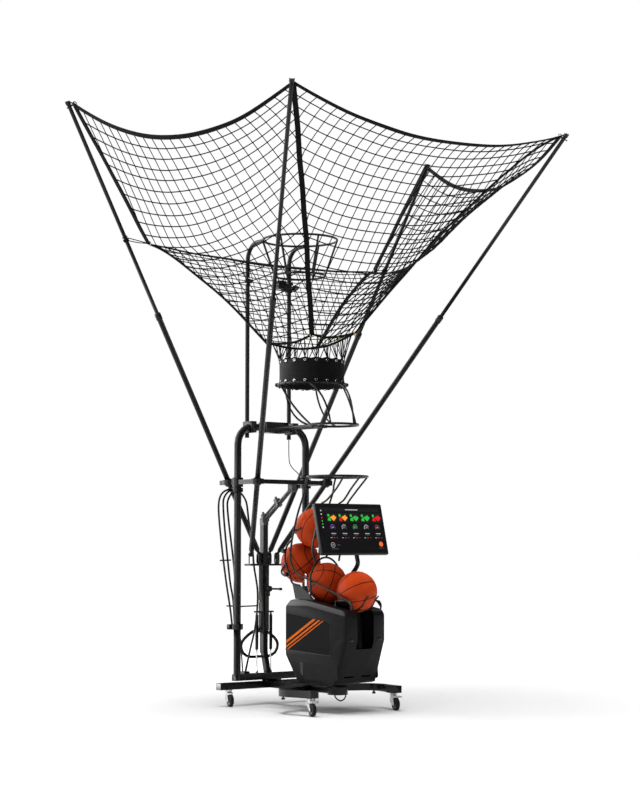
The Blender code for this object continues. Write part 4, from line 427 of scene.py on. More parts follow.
ends = [f"{end}_{side}" for end in ("front", "rear") for side in ("left", "right")]
dressed = {
    "blackPaint": ("black_paint", ["base_frame", "upright_frame", "guide_beam", "guide_post", "lift_sleeve",
                                   "gooseneck_left", "gooseneck_right", "ring_handle", "lock_handle",
                                   "ring_steady_arm", "turntable_base", "turntable_plate", "launcher_chassis",
                                   "throw_arm"]),
    # the diagonal strut is black paint; its lighter grey is a painted highlight
    "strutPaintedHighlightGrey": ("black_paint", ["diagonal_strut"]),
    "wirePaint": ("black_paint", ["upper_chute", "gas_cylinder_left", "gas_cylinder_right"]),
    "poleFinish": ("pole_alloy", [f"pole_{end}" for end in ends]),
    "zincPlate": ("zinc", [f"caster_fork_{end}" for end in ends] + ["brake_pedal_front_left",
                                                                     "brake_pedal_front_right"]),
    "brightSteel": ("steel", ["gas_rod_left", "gas_rod_right", "arm_shaft", "drive_motor"]),
    "nylon": ("nylon", [f"guide_bush_{end}" for end in ends]),
    "displayPlastic": ("housing_plastic", ["display_panel", "control_box"]),
    "cableRubber": ("rubber", ["sensor_lead", "turntable_cable"]),
}
softEdges = {"base_frame": 0.003, "guide_beam": 0.0012, "guide_post": 0.003, "display_panel": 0.0015}
swollen = {"sensor_lead": 0.0014, "turntable_cable": 0.0010, "upper_chute": 0.0020, "gooseneck_left": 0.0020,
           "gooseneck_right": 0.0020}
for finish, (slot, names) in dressed.items():
    for name in names:
        dressNode(name, paint[finish], softEdges.get(name, 0.0), swollen.get(name, 0.0))
print("frame dressed")


# Net: a square mesh knotted in four panels, with hems and seam straps

net = {"square": 0.070, "rearSquare": 0.052, "rearRow": 0.032, "cord": 0.0035, "knot": 0.0054,
       "neckX": -0.3012, "neckHalf": 0.186, "neckZ": 2.205, "rows": 7, "tieRow": 3,
       "tie": (-0.7657, 0.880, 2.783), "pullIn": 0.044, "drop": 0.014, "power": 1.3, "sideSag": 0.245,
       "frontSag": 0.165, "rearSag": 0.055, "rearBow": 0.075, "hem": 0.029, "seam": 0.022, "padded": 0.030,
       "wave": 0.007, "frontRise": (0.024, 0.055), "rightShift": 0.044}
poleTips = {"rear": (-0.8197, 1.426, 3.582), "front": (0.8553, 1.042, 3.438)}
poleFeet = {"rear": (-0.7822, 0.036, 0.917), "front": (-0.7822, 0.100, 0.917)}


def sided(point, side):
    return Vector((point[0], point[1] * side, point[2]))


def poleAt(end, side, height):
    foot, tip = sided(poleFeet[end], side), sided(poleTips[end], side)
    return foot.lerp(tip, (height - foot.z) / (tip.z - foot.z))


def netCorner(end, side):
    tip = sided(poleTips[end], side)
    inward = Vector((net["neckX"] - tip.x, -tip.y, 0)).normalized()
    return tip + inward * net["pullIn"] - Vector((0, 0, net["drop"]))


def neckCorner(end, side):
    way = 1 if end == "front" else -1
    corner = Vector((net["neckX"] + way * net["neckHalf"], side * net["neckHalf"], net["neckZ"]))
    if end == "front":  # the neck is laced higher at the front, and hangs a little to the left
        corner += Vector((0, net["rightShift"] if side < 0 else 0, net["frontRise"][side > 0]))
    return corner


def horn(top, neck, share):
    point = top.lerp(neck, share)
    point.z = top.z + (neck.z - top.z) * share ** net["power"]
    return point


def seamPoint(end, side, row):
    corner, neck = netCorner(end, side), neckCorner(end, side)
    if end == "front":
        return horn(corner, neck, row / net["rows"])
    tie = sided(net["tie"], side)
    if row <= net["tieRow"]:
        return corner.lerp(tie, row / net["tieRow"])
    return horn(tie, neck, (row - net["tieRow"]) / (net["rows"] - net["tieRow"]))


noise.seed_set(1)  # or it starts from the clock, and the net hangs a little differently in each run


def waver(point):  # small slackness that neighbouring cords share
    return point + noise.noise_vector(point * 3.1) * net["wave"]


panels = [(("rear", -1), ("front", -1), net["sideSag"], 0, 0.0),
          (("front", -1), ("front", 1), net["frontSag"], 0, 0.0),
          (("front", 1), ("rear", 1), net["sideSag"], 0, 0.0),
          (("rear", 1), ("rear", -1), net["rearSag"], net["tieRow"], net["rearBow"])]


def panelPoint(panel, row, share):
    first, second, sag, firstRow, bow = panel
    slack = (net["rows"] - row) / (net["rows"] - firstRow)
    arch = 4 * share * (1 - share)
    point = seamPoint(*first, row).lerp(seamPoint(*second, row), share)
    return waver(point + Vector((bow * arch * slack, 0, -sag * arch * slack)))


def squareOf(panel):  # the rear panel is knotted finer than the others
    return (net["rearSquare"], net["rearRow"]) if panel is panels[3] else (net["square"], net["square"])


def rowLevels(panel):  # rows a square apart down the middle of the panel
    firstRow, steps, height = panel[3], 200, squareOf(panel)[1]
    rows = [firstRow + (net["rows"] - firstRow) * i / steps for i in range(steps + 1)]
    run, levels = 0.0, []
    for above, below in zip(rows, rows[1:]):
        run += (panelPoint(panel, above, 0.5) - panelPoint(panel, below, 0.5)).length
        if run >= height * (len(levels) + 1):
            levels.append(below)
    return levels


def acrossPanel(panel):  # where its cords lie across the top edge, and the share of the panel there at a row
    first, second, firstRow = panel[0], panel[1], panel[3]
    start, end = seamPoint(*first, firstRow), seamPoint(*second, firstRow)
    along = Vector((end.x - start.x, end.y - start.y, 0)).normalized()
    width, square = (end - start).dot(along), squareOf(panel)[0]
    count = int(width / 2 / square)

    def shareAt(offset, row):
        low, high = [(seamPoint(*seam, row) - start).dot(along) for seam in (first, second)]
        return (offset - low) / (high - low)

    return [width / 2 + k * square for k in range(-count, count + 1)], shareAt


def columnPaths(panel):  # cords square to the top edge, each ending at a seam
    offsets, shareAt = acrossPanel(panel)
    firstRow, steps, paths = panel[3], 60, []
    for offset in offsets:
        points = []
        for i in range(steps + 1):
            row = firstRow + (net["rows"] - firstRow) * i / steps
            share = shareAt(offset, row)
            points.append(panelPoint(panel, row, min(max(share, 0.0), 1.0)))
            if not 0 <= share <= 1:
                break
        if len(points) > 2:
            paths.append(points)
    return paths


def thin(points, gap):  # keeps a point about every gap
    kept = [points[0]]
    for point in points[1:-1]:
        if (point - kept[-1]).length > gap:
            kept.append(point)
    return kept + [points[-1]]


def rowPaths(panel):
    paths = []
    for row in rowLevels(panel):
        width = (panelPoint(panel, row, 0) - panelPoint(panel, row, 1)).length
        count = max(6, ceil(width / 0.045))
        paths.append([panelPoint(panel, row, i / count) for i in range(count + 1)])
    return paths


def knotPlaces(panel):  # where rows and columns cross
    offsets, shareAt = acrossPanel(panel)
    crossings = [(row, shareAt(offset, row)) for row in rowLevels(panel) for offset in offsets]
    return [panelPoint(panel, row, share) for row, share in crossings if 0.01 < share < 0.99]


def addStrap(bm, points, sideways, width, thickness, material=0):  # flat webbing that follows points
    corners = [bm.verts.new(point - side * width / 2) for point, side in zip(points, sideways)]
    edges = [bm.edges.new(pair) for pair in zip(corners, corners[1:])]
    before = len(bm.faces)
    made = bmesh.ops.extrude_edge_only(bm, edges=edges)["geom"]
    far = [item for item in made if isinstance(item, bmesh.types.BMVert)]
    for corner in far:
        nearest = min(range(len(points)), key=lambda i: (corners[i].co - corner.co).length_squared)
        corner.co += sideways[nearest] * width
    bm.faces.ensure_lookup_table()
    faces = bm.faces[before:]
    bmesh.ops.recalc_face_normals(bm, faces=faces)
    bmesh.ops.solidify(bm, geom=faces + corners + far, thickness=thickness)
    bm.faces.ensure_lookup_table()
    faces = bm.faces[before:]
    for face in faces:
        face.material_index = material


def topHem(bm, panel, count=44):
    points = [panelPoint(panel, panel[3], i / count) for i in range(count + 1)]
    below = [panelPoint(panel, panel[3] + 0.12, i / count) for i in range(count + 1)]
    addStrap(bm, points, [(low - top).normalized() for top, low in zip(points, below)], net["hem"], 0.007, 1)


def seamStrap(bm, end, side, rows, width, count=40):
    points = [waver(seamPoint(end, side, rows[0] + (rows[1] - rows[0]) * i / count))
              for i in range(count + 1)]
    slopes = [(points[min(i + 1, count)] - points[max(i - 1, 0)]).normalized() for i in range(count + 1)]
    addStrap(bm, points, [slope.cross(Vector((0, 0, 1))).normalized() for slope in slopes], width, 0.009, 1)


def netMesh():
    bm = bmesh.new()
    for panel in panels:
        fine = panel is panels[3]
        addCords(bm, [thin(path, 0.05) for path in columnPaths(panel)] + rowPaths(panel),
                 net["cord"] * (0.8 if fine else 1), 0)
        for place in knotPlaces(panel):
            bmesh.ops.create_icosphere(bm, subdivisions=1, radius=net["knot"] * (0.7 if fine else 1),
                                       matrix=Matrix.Translation(place))
        topHem(bm, panel)
    for side in (-1, 1):
        seamStrap(bm, "rear", side, (0, net["tieRow"]), net["hem"], 20)
        seamStrap(bm, "rear", side, (net["tieRow"], net["rows"]), net["seam"])
        seamStrap(bm, "front", side, (0, net["rows"]), net["padded"] if side < 0 else net["seam"])
    return bm


edgeMids = {"rear": panelPoint(panels[3], net["tieRow"], 0.5), "front": panelPoint(panels[1], 0, 0.5)}
cornerPlanes = {}
for end in ("rear", "front"):
    for side in (-1, 1):
        sideMid = panelPoint(panels[0 if side < 0 else 2], 0, 0.5)
        across = edgeMids[end] - sideMid
        outward = Vector((across.y, -across.x, 0)).normalized()
        if outward.dot(sided(poleTips[end], side) - sideMid) < 0:
            outward.negate()
        cornerPlanes[(end, side)] = (Vector((sideMid.x, sideMid.y, 0)), outward)


def cutNet(bm, keepOutside):  # keepOutside lists the planes whose outer part stays, the others lose it
    for key, (place, outward) in cornerPlanes.items():
        if keepOutside and key not in keepOutside:
            continue
        geometry = bm.verts[:] + bm.edges[:] + bm.faces[:]
        bmesh.ops.bisect_plane(bm, geom=geometry, plane_co=place, plane_no=outward, dist=1e-6,
                               clear_inner=bool(keepOutside), clear_outer=not keepOutside)
    rims = [edge for edge in bm.edges if edge.is_boundary]
    bmesh.ops.holes_fill(bm, edges=rims, sides=12)
    return bm


wholeNet = netMesh()
netLook = [paint["netTwine"], paint["webbing"]]
centre = finishPiece("net_centre", cutNet(wholeNet.copy(), []), netLook, stands=["net_funnel"],
                     angle=60)
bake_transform(centre)
for (end, side), (place, outward) in cornerPlanes.items():
    word = sideWord(side)
    corner = finishPiece(f"net_corner_{end}_{word}", cutNet(wholeNet.copy(), [(end, side)]), netLook,
                         angle=60)
    reach = sided(net["tie"], side) if end == "rear" else netCorner(end, side)
    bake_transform(corner)
wholeNet.free()
print("net knotted")


# Neck hem, its rings, the lacing and the collar

collar = {"x": -0.3012, "radius": 0.1975, "wall": 0.0025, "low": 1.930, "high": 2.098, "eyelets": 18,
          "eyeletRadius": 0.0065, "hoopZ": 1.945, "lace": 0.0030, "hem": 0.0075, "ring": 0.012,
          "ringWire": 0.0028, "eyeletWire": 0.0022, "topRow": 0.016, "lowRow": 0.030}


def neckPath(count=64, sag=0.022):
    corners = [neckCorner("rear", -1), neckCorner("front", -1), neckCorner("front", 1), neckCorner("rear", 1)]
    path = []
    for i in range(count):
        leg, share = divmod(i * 4 / count, 1)
        first, second = corners[int(leg)], corners[(int(leg) + 1) % 4]
        bow = 4 * share * (1 - share)
        point = first.lerp(second, share) - Vector((0, 0, sag * bow))
        inward = (Vector((net["neckX"], 0, point.z)) - point).normalized()
        path.append(point + inward * 0.018 * bow)
    return path


def collarPoint(angle, height, out=0.0):
    return Vector((collar["x"] + (collar["radius"] + out) * cos(angle), (collar["radius"] + out) * sin(angle),
                   height))


bm = bmesh.new()
neckLine = neckPath()
addCords(bm, [neckLine], collar["hem"], 2, closed=True)
finishPiece("neck_hem", bm, paint["webbing"], "base")

bm = bmesh.new()
for spot in [neckLine[i] for i in (0, 16, 19, 23, 27, 32, 48)]:
    away = Vector((spot.x - net["neckX"], spot.y, 0)).normalized()
    addRing(bm, axisMatrix(spot + Vector((0, 0, -0.004)), spot + away), collar["ring"], collar["ringWire"],
            16, 6)
finishPiece("neck_rings", bm, paint["brass"], "base")

bm = bmesh.new()
laces, count = [], collar["eyelets"]
for i in range(count):
    angle = 2 * pi * (i + 0.5) / count
    eyelet = collarPoint(angle, collar["high"] - collar["topRow"], 0.002)
    rim = collarPoint(angle, collar["high"] + 0.002, 0.001)
    for lean in (-0.62, 0.0, 0.62):
        aim = angle + lean * 2 * pi / count
        heading = Vector((cos(aim), sin(aim), 0))
        top = min(neckLine, key=lambda p: -(Vector((p.x - net["neckX"], p.y, 0)).normalized().dot(heading)))
        laces.append([eyelet, rim, rim.lerp(top, 0.5) + Vector((0, 0, 0.002)), top])
addCords(bm, laces, collar["lace"], 0)
finishPiece("neck_lacing", bm, paint["netTwine"], "base", angle=60)

bm = bmesh.new()
rows, steps = 10, 144
bmesh.ops.create_circle(bm, segments=steps, radius=collar["radius"] - collar["wall"] / 2,
                        matrix=at(collar["x"], 0, collar["low"]))
edges = bm.edges[:]
for row in range(rows):
    made = bmesh.ops.extrude_edge_only(bm, edges=edges)["geom"]
    edges = [item for item in made if isinstance(item, bmesh.types.BMEdge)]
    bmesh.ops.translate(bm, verts=[item for item in made if isinstance(item, bmesh.types.BMVert)],
                        vec=(0, 0, (collar["high"] - collar["low"]) / rows))
for corner in bm.verts:  # the lacing draws the rims up, and the cloth flattens between eyelets
    angle = atan2(corner.co.y, corner.co.x - collar["x"])
    pulled = cos(angle * count - pi)
    share = (corner.co.z - collar["low"]) / (collar["high"] - collar["low"])
    rimPull = max(0, share - 0.7) / 0.3 - max(0, 0.3 - share) / 0.3
    corner.co.z += 0.0035 * pulled * rimPull - 0.002 * rimPull
    radial = Vector((cos(angle), sin(angle), 0))
    corner.co -= radial * (0.0012 * (1 - pulled) * abs(rimPull)
                           + 0.0016 * (1 - abs(2 * share - 1)) * (0.5 + 0.5 * sin(angle * 5)))
bmesh.ops.recalc_face_normals(bm, faces=bm.faces)
cloth = finishPiece("collar_cloth", bm, paint["vinylCloth"], "base", ["net_collar"])
wall = cloth.modifiers.new("wall", "SOLIDIFY")
wall.thickness = collar["wall"]
wall.offset = 0

bm = bmesh.new()
for i in range(count):
    angle = 2 * pi * (i + 0.5) / count
    for height in (collar["high"] - collar["topRow"], collar["low"] + collar["lowRow"]):
        addRing(bm, axisMatrix(collarPoint(angle, height, 0.0012), collarPoint(angle, height, 1)),
                collar["eyeletRadius"], collar["eyeletWire"], 12, 6)
eyelets = finishPiece("collar_eyelets", bm, paint["nickel"], "base")
bm = bmesh.new()
for i in range(count):
    angle = 2 * pi * (i + 0.5) / count
    points = [collarPoint(angle, collar["low"] + collar["lowRow"], 0.002),
              collarPoint(angle + 0.07, collar["hoopZ"], 0.015),
              collarPoint(angle + 0.12, collar["low"] - 0.001, 0.006),
              collarPoint(angle + 0.2, collar["low"] + 0.004, -0.004),
              collarPoint(angle + 0.30, collar["low"] + 0.024, 0.002)]
    addCords(bm, [points], collar["lace"], 0)
finishPiece("hoop_lacing", bm, paint["netTwine"], "base", angle=60)
print("collar laced")


# Net ties at the poles

ties = {"cord": 0.0035, "thinCord": 0.003, "ring": 0.013, "ringWire": 0.003, "wrap": 0.0155,
        "wraps": (-0.006, 0.0, 0.006, 0.020)}

for end in ("rear", "front"):
    for side in (-1, 1):
        bm = bmesh.new()
        tip, spot = sided(poleTips[end], side), netCorner(end, side)
        peg = tip.lerp(spot, 0.25)
        addCords(bm, [[tip - Vector((0, 0, 0.02)), peg, spot.lerp(peg, 0.5), spot],
                      [tip - Vector((0, 0, 0.045)), spot.lerp(tip, 0.4) - Vector((0, 0, 0.02)), spot]],
                 ties["cord"], 1)
        addRing(bm, axisMatrix(spot, spot + (spot - tip).cross(Vector((0, 0, 1)))), ties["ring"],
                ties["ringWire"], 16, 6, 1)
        if end == "rear":
            tie = sided(net["tie"], side)
            there = poleAt(end, side, tie.z + 0.012)
            aim = (poleAt(end, side, 3.0) - there).normalized()
            addCords(bm, [[tie, tie.lerp(there, 0.5) - Vector((0, 0, 0.004)), there],
                          [tie, tie.lerp(there, 0.45) + Vector((0, 0, 0.008)), there + aim * 0.02]],
                     ties["thinCord"], 1)
            for step in ties["wraps"]:
                addRing(bm, axisMatrix(there + aim * step, there + aim * (step + 1)), ties["wrap"],
                        ties["ringWire"], 16, 6)
            addRing(bm, axisMatrix(tie, tie + Vector((0.3, side, 0))), ties["ring"], ties["ringWire"], 16, 6,
                    1)
        word = sideWord(side)
        finishPiece(f"net_tie_{end}_{word}", bm, [paint["netTwine"], paint["nickel"]], f"pole_{end}_{word}")
print("net tied")


# Balls: pebbled skin with sunken seams

balls = {"radius": 0.1195, "groove": 0.0026, "sink": 0.0014, "yaw": 10.0, "turnAxisX": -0.0537,
         "orange": (0.580, 0.060, 0.0085), "deepOrange": (0.500, 0.047, 0.0070),
         # the gap colour is painted shade between the pebbles
         "gapShadeColour": (0.27, 0.024, 0.005), "dustColour": (0.60, 0.30, 0.18),
         "seamColour": (0.008, 0.007, 0.007),
         "centres": [(-0.1763, 1.0773), (-0.2923, 0.8680), (-0.083, 0.752), (0.1511, 0.7022)],
         "turns": [(70, 25, 15), (20, -35, 40), (-35, 20, 65), (30, 60, 10)]}
yaw = radians(balls["yaw"])


def launcherPoint(forward, left, up):
    return Vector((balls["turnAxisX"] + forward * cos(yaw) - left * sin(yaw),
                   forward * sin(yaw) + left * cos(yaw), up))


def makeBallSkin():
    material, tree, shader, place = newMaterial("ballSkin")
    offsets = addNode(tree, "Attribute", attribute_name="seamOffsets").outputs["Vector"]
    apart = addNode(tree, "SeparateXYZ", {0: offsets}).outputs
    sides = [mathNode(tree, "ABSOLUTE", apart[i]) for i in range(3)]
    nearest = mathNode(tree, "MINIMUM", mathNode(tree, "MINIMUM", sides[0], sides[1]), sides[2])
    line = addNode(tree, "MapRange",
                   {"Value": nearest, "From Min": balls["groove"] * 0.85, "From Max": balls["groove"] * 1.25,
                    "To Min": 1.0, "To Max": 0.0}).outputs[0]
    patches = placeGroup(tree, grainField, place, Scale=9.0, Detail=6.0, Contrast=1.6)
    pebbles = placeGroup(tree, stippleField, place, Scale=430.0, Spread=0.35)
    # painted shade: the orange is darkened in the gaps between pebbles
    gapShade = mathNode(tree, "MULTIPLY_ADD", pebbles["Mask"], -0.30, 0.20, clamp=True)
    skin = mixColour(tree, patches["Mask"], balls["orange"], balls["deepOrange"])
    skin = mixColour(tree, gapShade, skin, balls["gapShadeColour"])
    skin = mixColour(tree, placeGroup(tree, dustFilm, place, Amount=0.03)["Mask"], skin, balls["dustColour"])
    height = mathNode(tree, "MULTIPLY", pebbles["Height"], mathNode(tree, "SUBTRACT", 1.0, line))
    finish = {"Specular IOR Level": 0.10, "Base Color": mixColour(tree, line, skin, balls["seamColour"]),
              "Roughness": mathNode(tree, "MULTIPLY_ADD", patches["Mask"], 0.12, 0.40),
              "Normal": addNode(tree, "Bump",
                                {"Strength": 0.6, "Distance": 0.0007, "Height": height}).outputs[0]}
    for key, value in finish.items():
        feed(tree, shader[key], value)
    return material


def seamDistances(direction):  # signed distances on the ball from two great circles and from a pair of loops
    x, y, z = direction
    around = atan2(z, y)
    loop = acos(min(1, abs(x))) - (0.86 + 0.15 * cos(2 * around))
    return Vector((asin(max(-1, min(1, x))), asin(max(-1, min(1, z))), loop)) * balls["radius"]


ballSkin = makeBallSkin()
for i, (forward, up) in enumerate(balls["centres"]):
    middle = launcherPoint(forward, 0, up)
    turnX, turnY, turnZ = [Matrix.Rotation(radians(turn), 3, axis)
                           for turn, axis in zip(balls["turns"][i], "XYZ")]
    turn = turnZ @ turnY @ turnX
    bm = bmesh.new()
    bmesh.ops.create_icosphere(bm, subdivisions=7, radius=1.0)
    layer = bm.verts.layers.float_vector.new("seamOffsets")
    for corner in bm.verts:
        direction = corner.co.normalized()
        offsets = seamDistances(turn.transposed() @ direction)
        corner[layer] = offsets
        share = min(1, min(abs(offset) for offset in offsets) / (balls["groove"] * 1.5))
        sink = balls["sink"] * (1 - share * share * (3 - 2 * share))
        corner.co = middle + direction * (balls["radius"] - sink)
    node = f"ball_{i + 1}"
    finishPiece(node + "_skin", bm, ballSkin, node, [node], 180)
print("balls made")


# Shot counter: rings, bars and bent arms, and the sensor beside its hinge

counter = {"x": -0.4197, "topZ": 2.851, "topRadius": 0.2305, "lowZ": 2.628, "lowRadius": 0.154, "bars": 6,
           "wire": 0.0068, "barWire": 0.0064, "barTurn": 51.5, "neckX": -0.7422, "neckY": 0.163,
           "tube": 0.014, "pin": 0.0045, "sensor": (0.098, 2.618), "foldZ": 2.620, "bend": 0.105,
           "eye": 0.0154}
bm = bmesh.new()
addRing(bm, at(counter["x"], 0, counter["topZ"]), counter["topRadius"], counter["wire"], 72, 10)
addRing(bm, at(counter["x"], 0, counter["lowZ"]), counter["lowRadius"], counter["wire"], 60, 10)
for i in range(counter["bars"]):
    turn = radians(counter["barTurn"]) + 2 * pi * i / counter["bars"]
    heading = Vector((cos(turn), sin(turn), 0))
    above = Vector((counter["x"], 0, counter["topZ"])) + heading * counter["topRadius"]
    below = Vector((counter["x"], 0, counter["lowZ"])) + heading * counter["lowRadius"]
    addCords(bm, [[above, below]], counter["barWire"], 2)
reach = sqrt(counter["topRadius"] ** 2 - counter["neckY"] ** 2)
for side in (-1, 1):
    y, bend = side * counter["neckY"], counter["bend"]
    arc = [(counter["neckX"] + bend * (1 - cos(radians(9 * i))), y,
            counter["topZ"] - bend * (1 - sin(radians(9 * i)))) for i in range(11)]
    addCords(bm, [[(counter["neckX"], y, counter["foldZ"] + 0.020)] + arc
                  + [(counter["x"] - reach, y, counter["topZ"])]], counter["tube"], 4)
    outer = y + side * 0.0063
    addBlock(bm, at(counter["neckX"], outer, counter["foldZ"] + 0.018), (0.018, 0.0108, 0.032), 0.001)
    start = Vector((counter["neckX"], y + side * 0.0004, counter["foldZ"]))
    addTurned(bm, sleeve(counter["pin"], counter["eye"], 0.0118),
              axisMatrix(start, start + Vector((0, side, 0))), 24)
finishPiece("counter_rings", bm, paint["wirePaint"], "counter_hoop", ["counter_hoop"])

bm = bmesh.new()
addBlock(bm, at(counter["neckX"], *counter["sensor"]), (0.042, 0.064, 0.054), 0.004)
addBlock(bm, at(counter["neckX"], 0.142, 2.586), (0.026, 0.060, 0.012), 0.002)
addTurned(bm, sleeve(0.0122, 0.020, 0.026), at(counter["neckX"], counter["neckY"], 2.574), 20)
addTurned(bm, [(0, 0), (0.014, 0), (0.014, 0.009), (0.011, 0.010), (0, 0.010)],
          axisMatrix((counter["neckX"] + 0.020, *counter["sensor"]),
                     (counter["neckX"] + 1, *counter["sensor"])), 20)
addBlock(bm, at(counter["neckX"], 0.190, 2.596), (0.012, 0.036, 0.010), 0.002)
addTurned(bm, [(0, -0.005), (0.024, -0.005), (0.027, -0.002), (0.027, 0.002), (0.024, 0.005), (0, 0.005)],
          at(counter["neckX"], 0.212, 2.606) @ Matrix.Rotation(radians(-28), 4, "Y"), 28)
finishPiece("sensor_case", bm, paint["displayPlastic"], "sensor_box", ["sensor_box"])
print("counter made")


# Ball tower: ring, rods that follow the balls, hoops, bumpers and side plates, in the launcher's own axes

tower = {"wire": 0.0060, "ringWire": 0.0070, "ring": 0.180, "ringZ": 1.380, "side": 0.1285, "hoopAt": -0.092,
         "hoopHalf": 0.140, "hoopZ": 0.752, "hoopRise": 0.150, "band": 0.1315}
rearRod = [(-0.126, 1.380), (-0.140, 1.335), (-0.151, 1.283), (-0.203, 1.158), (-0.241, 1.031),
           (-0.2552, 0.961), (-0.2598, 0.891), (-0.2407, 0.842), (-0.2026, 0.808), (-0.1178, 0.772),
           (0.0050, 0.728), (0.1012, 0.6905), (0.1900, 0.6500), (0.2300, 0.6120)]
outerRod = [(-0.247, 1.010), (-0.2839, 0.9760), (-0.3001, 0.9373), (-0.3020, 0.891), (-0.2884, 0.842),
            (-0.2650, 0.795), (-0.2431, 0.7501), (-0.1846, 0.7365)]
frontRods = [[(0.145, -0.107, 1.380), (0.098, -0.122, 1.305), (0.030, -0.1285, 1.240),
              (-0.016, -0.1285, 1.216), (-0.036, -0.1285, 1.170), (-0.045, -0.1285, 1.110),
              (-0.0618, -0.1285, 1.0446), (-0.0805, -0.1285, 0.9822), (-0.0804, -0.1285, 0.9266),
              (-0.070, -0.118, 0.880)],
             [(0.180, 0.0, 1.380), (0.112, 0.0, 1.312), (0.052, 0.0, 1.243), (0.004, 0.0, 1.215),
              (-0.012, 0.0, 1.180), (-0.020, 0.0, 1.130), (-0.034, 0.0, 1.040), (-0.048, 0.0, 0.970),
              (-0.090, 0.0, 0.9020)],
             [(0.126, 0.1285, 1.380), (0.0965, 0.1285, 1.352), (0.0315, 0.1285, 1.290),
              (-0.0338, 0.1285, 1.2200), (-0.075, 0.1285, 1.140), (-0.088, 0.1285, 1.050),
              (-0.088, 0.1285, 0.950), (-0.086, 0.112, 0.880)]]


# flat plate that stands fore and aft in the launcher's axes
def addPlate(bm, outline, left, thickness, material=0):
    corners = [bm.verts.new(launcherPoint(forward, left - thickness / 2, up)) for forward, up in outline]
    face = bm.faces.new(corners)
    made = bmesh.ops.extrude_face_region(bm, geom=[face])["geom"]
    far = [item for item in made if isinstance(item, bmesh.types.BMVert)]
    bmesh.ops.translate(bm, verts=far, vec=launcherPoint(0, thickness, 0) - launcherPoint(0, 0, 0))
    faces = list({face for corner in corners + far for face in corner.link_faces})
    bmesh.ops.recalc_face_normals(bm, faces=faces)
    for face in faces:
        face.material_index = material


bm = bmesh.new()
addRing(bm, Matrix.Translation(launcherPoint(0, 0, tower["ringZ"])), tower["ring"], tower["ringWire"], 72, 10)
for side in (-1, 1):
    for rod in (rearRod, outerRod):
        addCords(bm, [smoothPath([launcherPoint(forward, side * tower["side"], up) for forward, up in rod])],
                 tower["wire"], 2)
    hoop = [launcherPoint(tower["hoopAt"], side * 0.136, up) for up in (0.662, 0.700, 0.740)]
    for turn in [radians(step) for step in range(8, 91, 10)]:
        hoop.append(launcherPoint(tower["hoopAt"], side * tower["hoopHalf"] * cos(turn),
                                  tower["hoopZ"] + tower["hoopRise"] * sin(turn)))
    addCords(bm, [hoop + [launcherPoint(tower["hoopAt"], 0, tower["hoopZ"] + tower["hoopRise"])]],
             tower["wire"], 2)
    addPlate(bm, [(-0.2435, 0.7465), (-0.1851, 0.7401), (-0.0694, 0.6560), (-0.2190, 0.6560)], side * 0.1275,
             0.005, 1)
    addPlate(bm, [(-0.158, 0.735), (-0.146, 0.735), (-0.146, 0.800), (-0.158, 0.806)], side * 0.110, 0.004, 2)
    for forward, up in ((-0.305, 0.940), (-0.286, 0.800)):
        place = axisMatrix(launcherPoint(forward, side * (tower["side"] - 0.004), up),
                           launcherPoint(forward, side, up))
        addTurned(bm, [(0, 0), (0.010, 0), (0.013, 0.004), (0.013, 0.024), (0.010, 0.028), (0, 0.028)], place,
                  20, 1)
for points in frontRods:
    addCords(bm, [smoothPath([launcherPoint(*point) for point in points])], tower["wire"], 2)
for (forward, up), (away, drop) in (((-0.2923, 0.868), (-0.80, -0.60)), ((-0.1763, 1.0773), (-0.97, -0.24))):
    band = []
    for i in range(19):
        turn = radians(i * 10)
        spread = tower["band"] * sin(turn)
        band.append(launcherPoint(forward + away * spread, -tower["side"] * cos(turn), up + drop * spread))
    addCords(bm, [band], tower["wire"], 2)
finishPiece("tower_wires", bm, [paint["wirePaint"], paint["deckPlastic"], paint["zincPlate"]], "ball_tower",
            ["ball_tower"])

lips = {"ball": 0.1511, "rim": (0.126, 0.652), "middle": (0.112, 0.634), "foot": (0.088, 0.604),
        "wire": 0.0052}


def lipArc(side, radius, up):  # round the front ball
    turns = [radians(step) for step in range(124, 68, -7)]
    return [launcherPoint(lips["ball"] + radius * cos(turn), side * radius * sin(turn), up) for turn in turns]


bm = bmesh.new()
for side in (-1, 1):
    rim = lipArc(side, *lips["rim"])
    rim += [launcherPoint(0.214, side * 0.130, 0.646), launcherPoint(0.224, side * 0.132, 0.628),
            launcherPoint(0.222, side * 0.132, 0.600)]
    addCords(bm, [[launcherPoint(0.078, side * 0.108, 0.622)] + rim], lips["wire"], 2)
    for pair in (("foot", "middle"), ("middle", "rim")):
        rails = [[bm.verts.new(point) for point in lipArc(side, *lips[edge])] for edge in pair]
        faces = [bm.faces.new((a, b, d, c))
                 for a, b, c, d in zip(rails[0], rails[0][1:], rails[1], rails[1][1:])]
        bmesh.ops.recalc_face_normals(bm, faces=faces)
        bmesh.ops.solidify(bm, geom=faces, thickness=0.002)
finishPiece("deck_lips", bm, paint["deckPlastic"], "housing_shell")
print("tower made")


# Housing: black deck band above a charcoal body, a bead round each side panel, blank plates and grips, with
# thin dark sheets of painted shade for an inset beside each plate and for the grip recesses

housing = {"half": 0.180, "front": 0.218, "top": 0.655, "slopeStart": -0.080, "frontTop": 0.600,
           "band": 0.036, "edge": 0.0012}
toLauncher = Matrix.Rotation(-yaw, 4, "Z") @ at(-balls["turnAxisX"], 0, 0)
fall = (housing["top"] - housing["frontTop"]) / (housing["front"] - housing["slopeStart"])


def deckHeight(forward):
    return housing["top"] - max(0, forward - housing["slopeStart"]) * fall


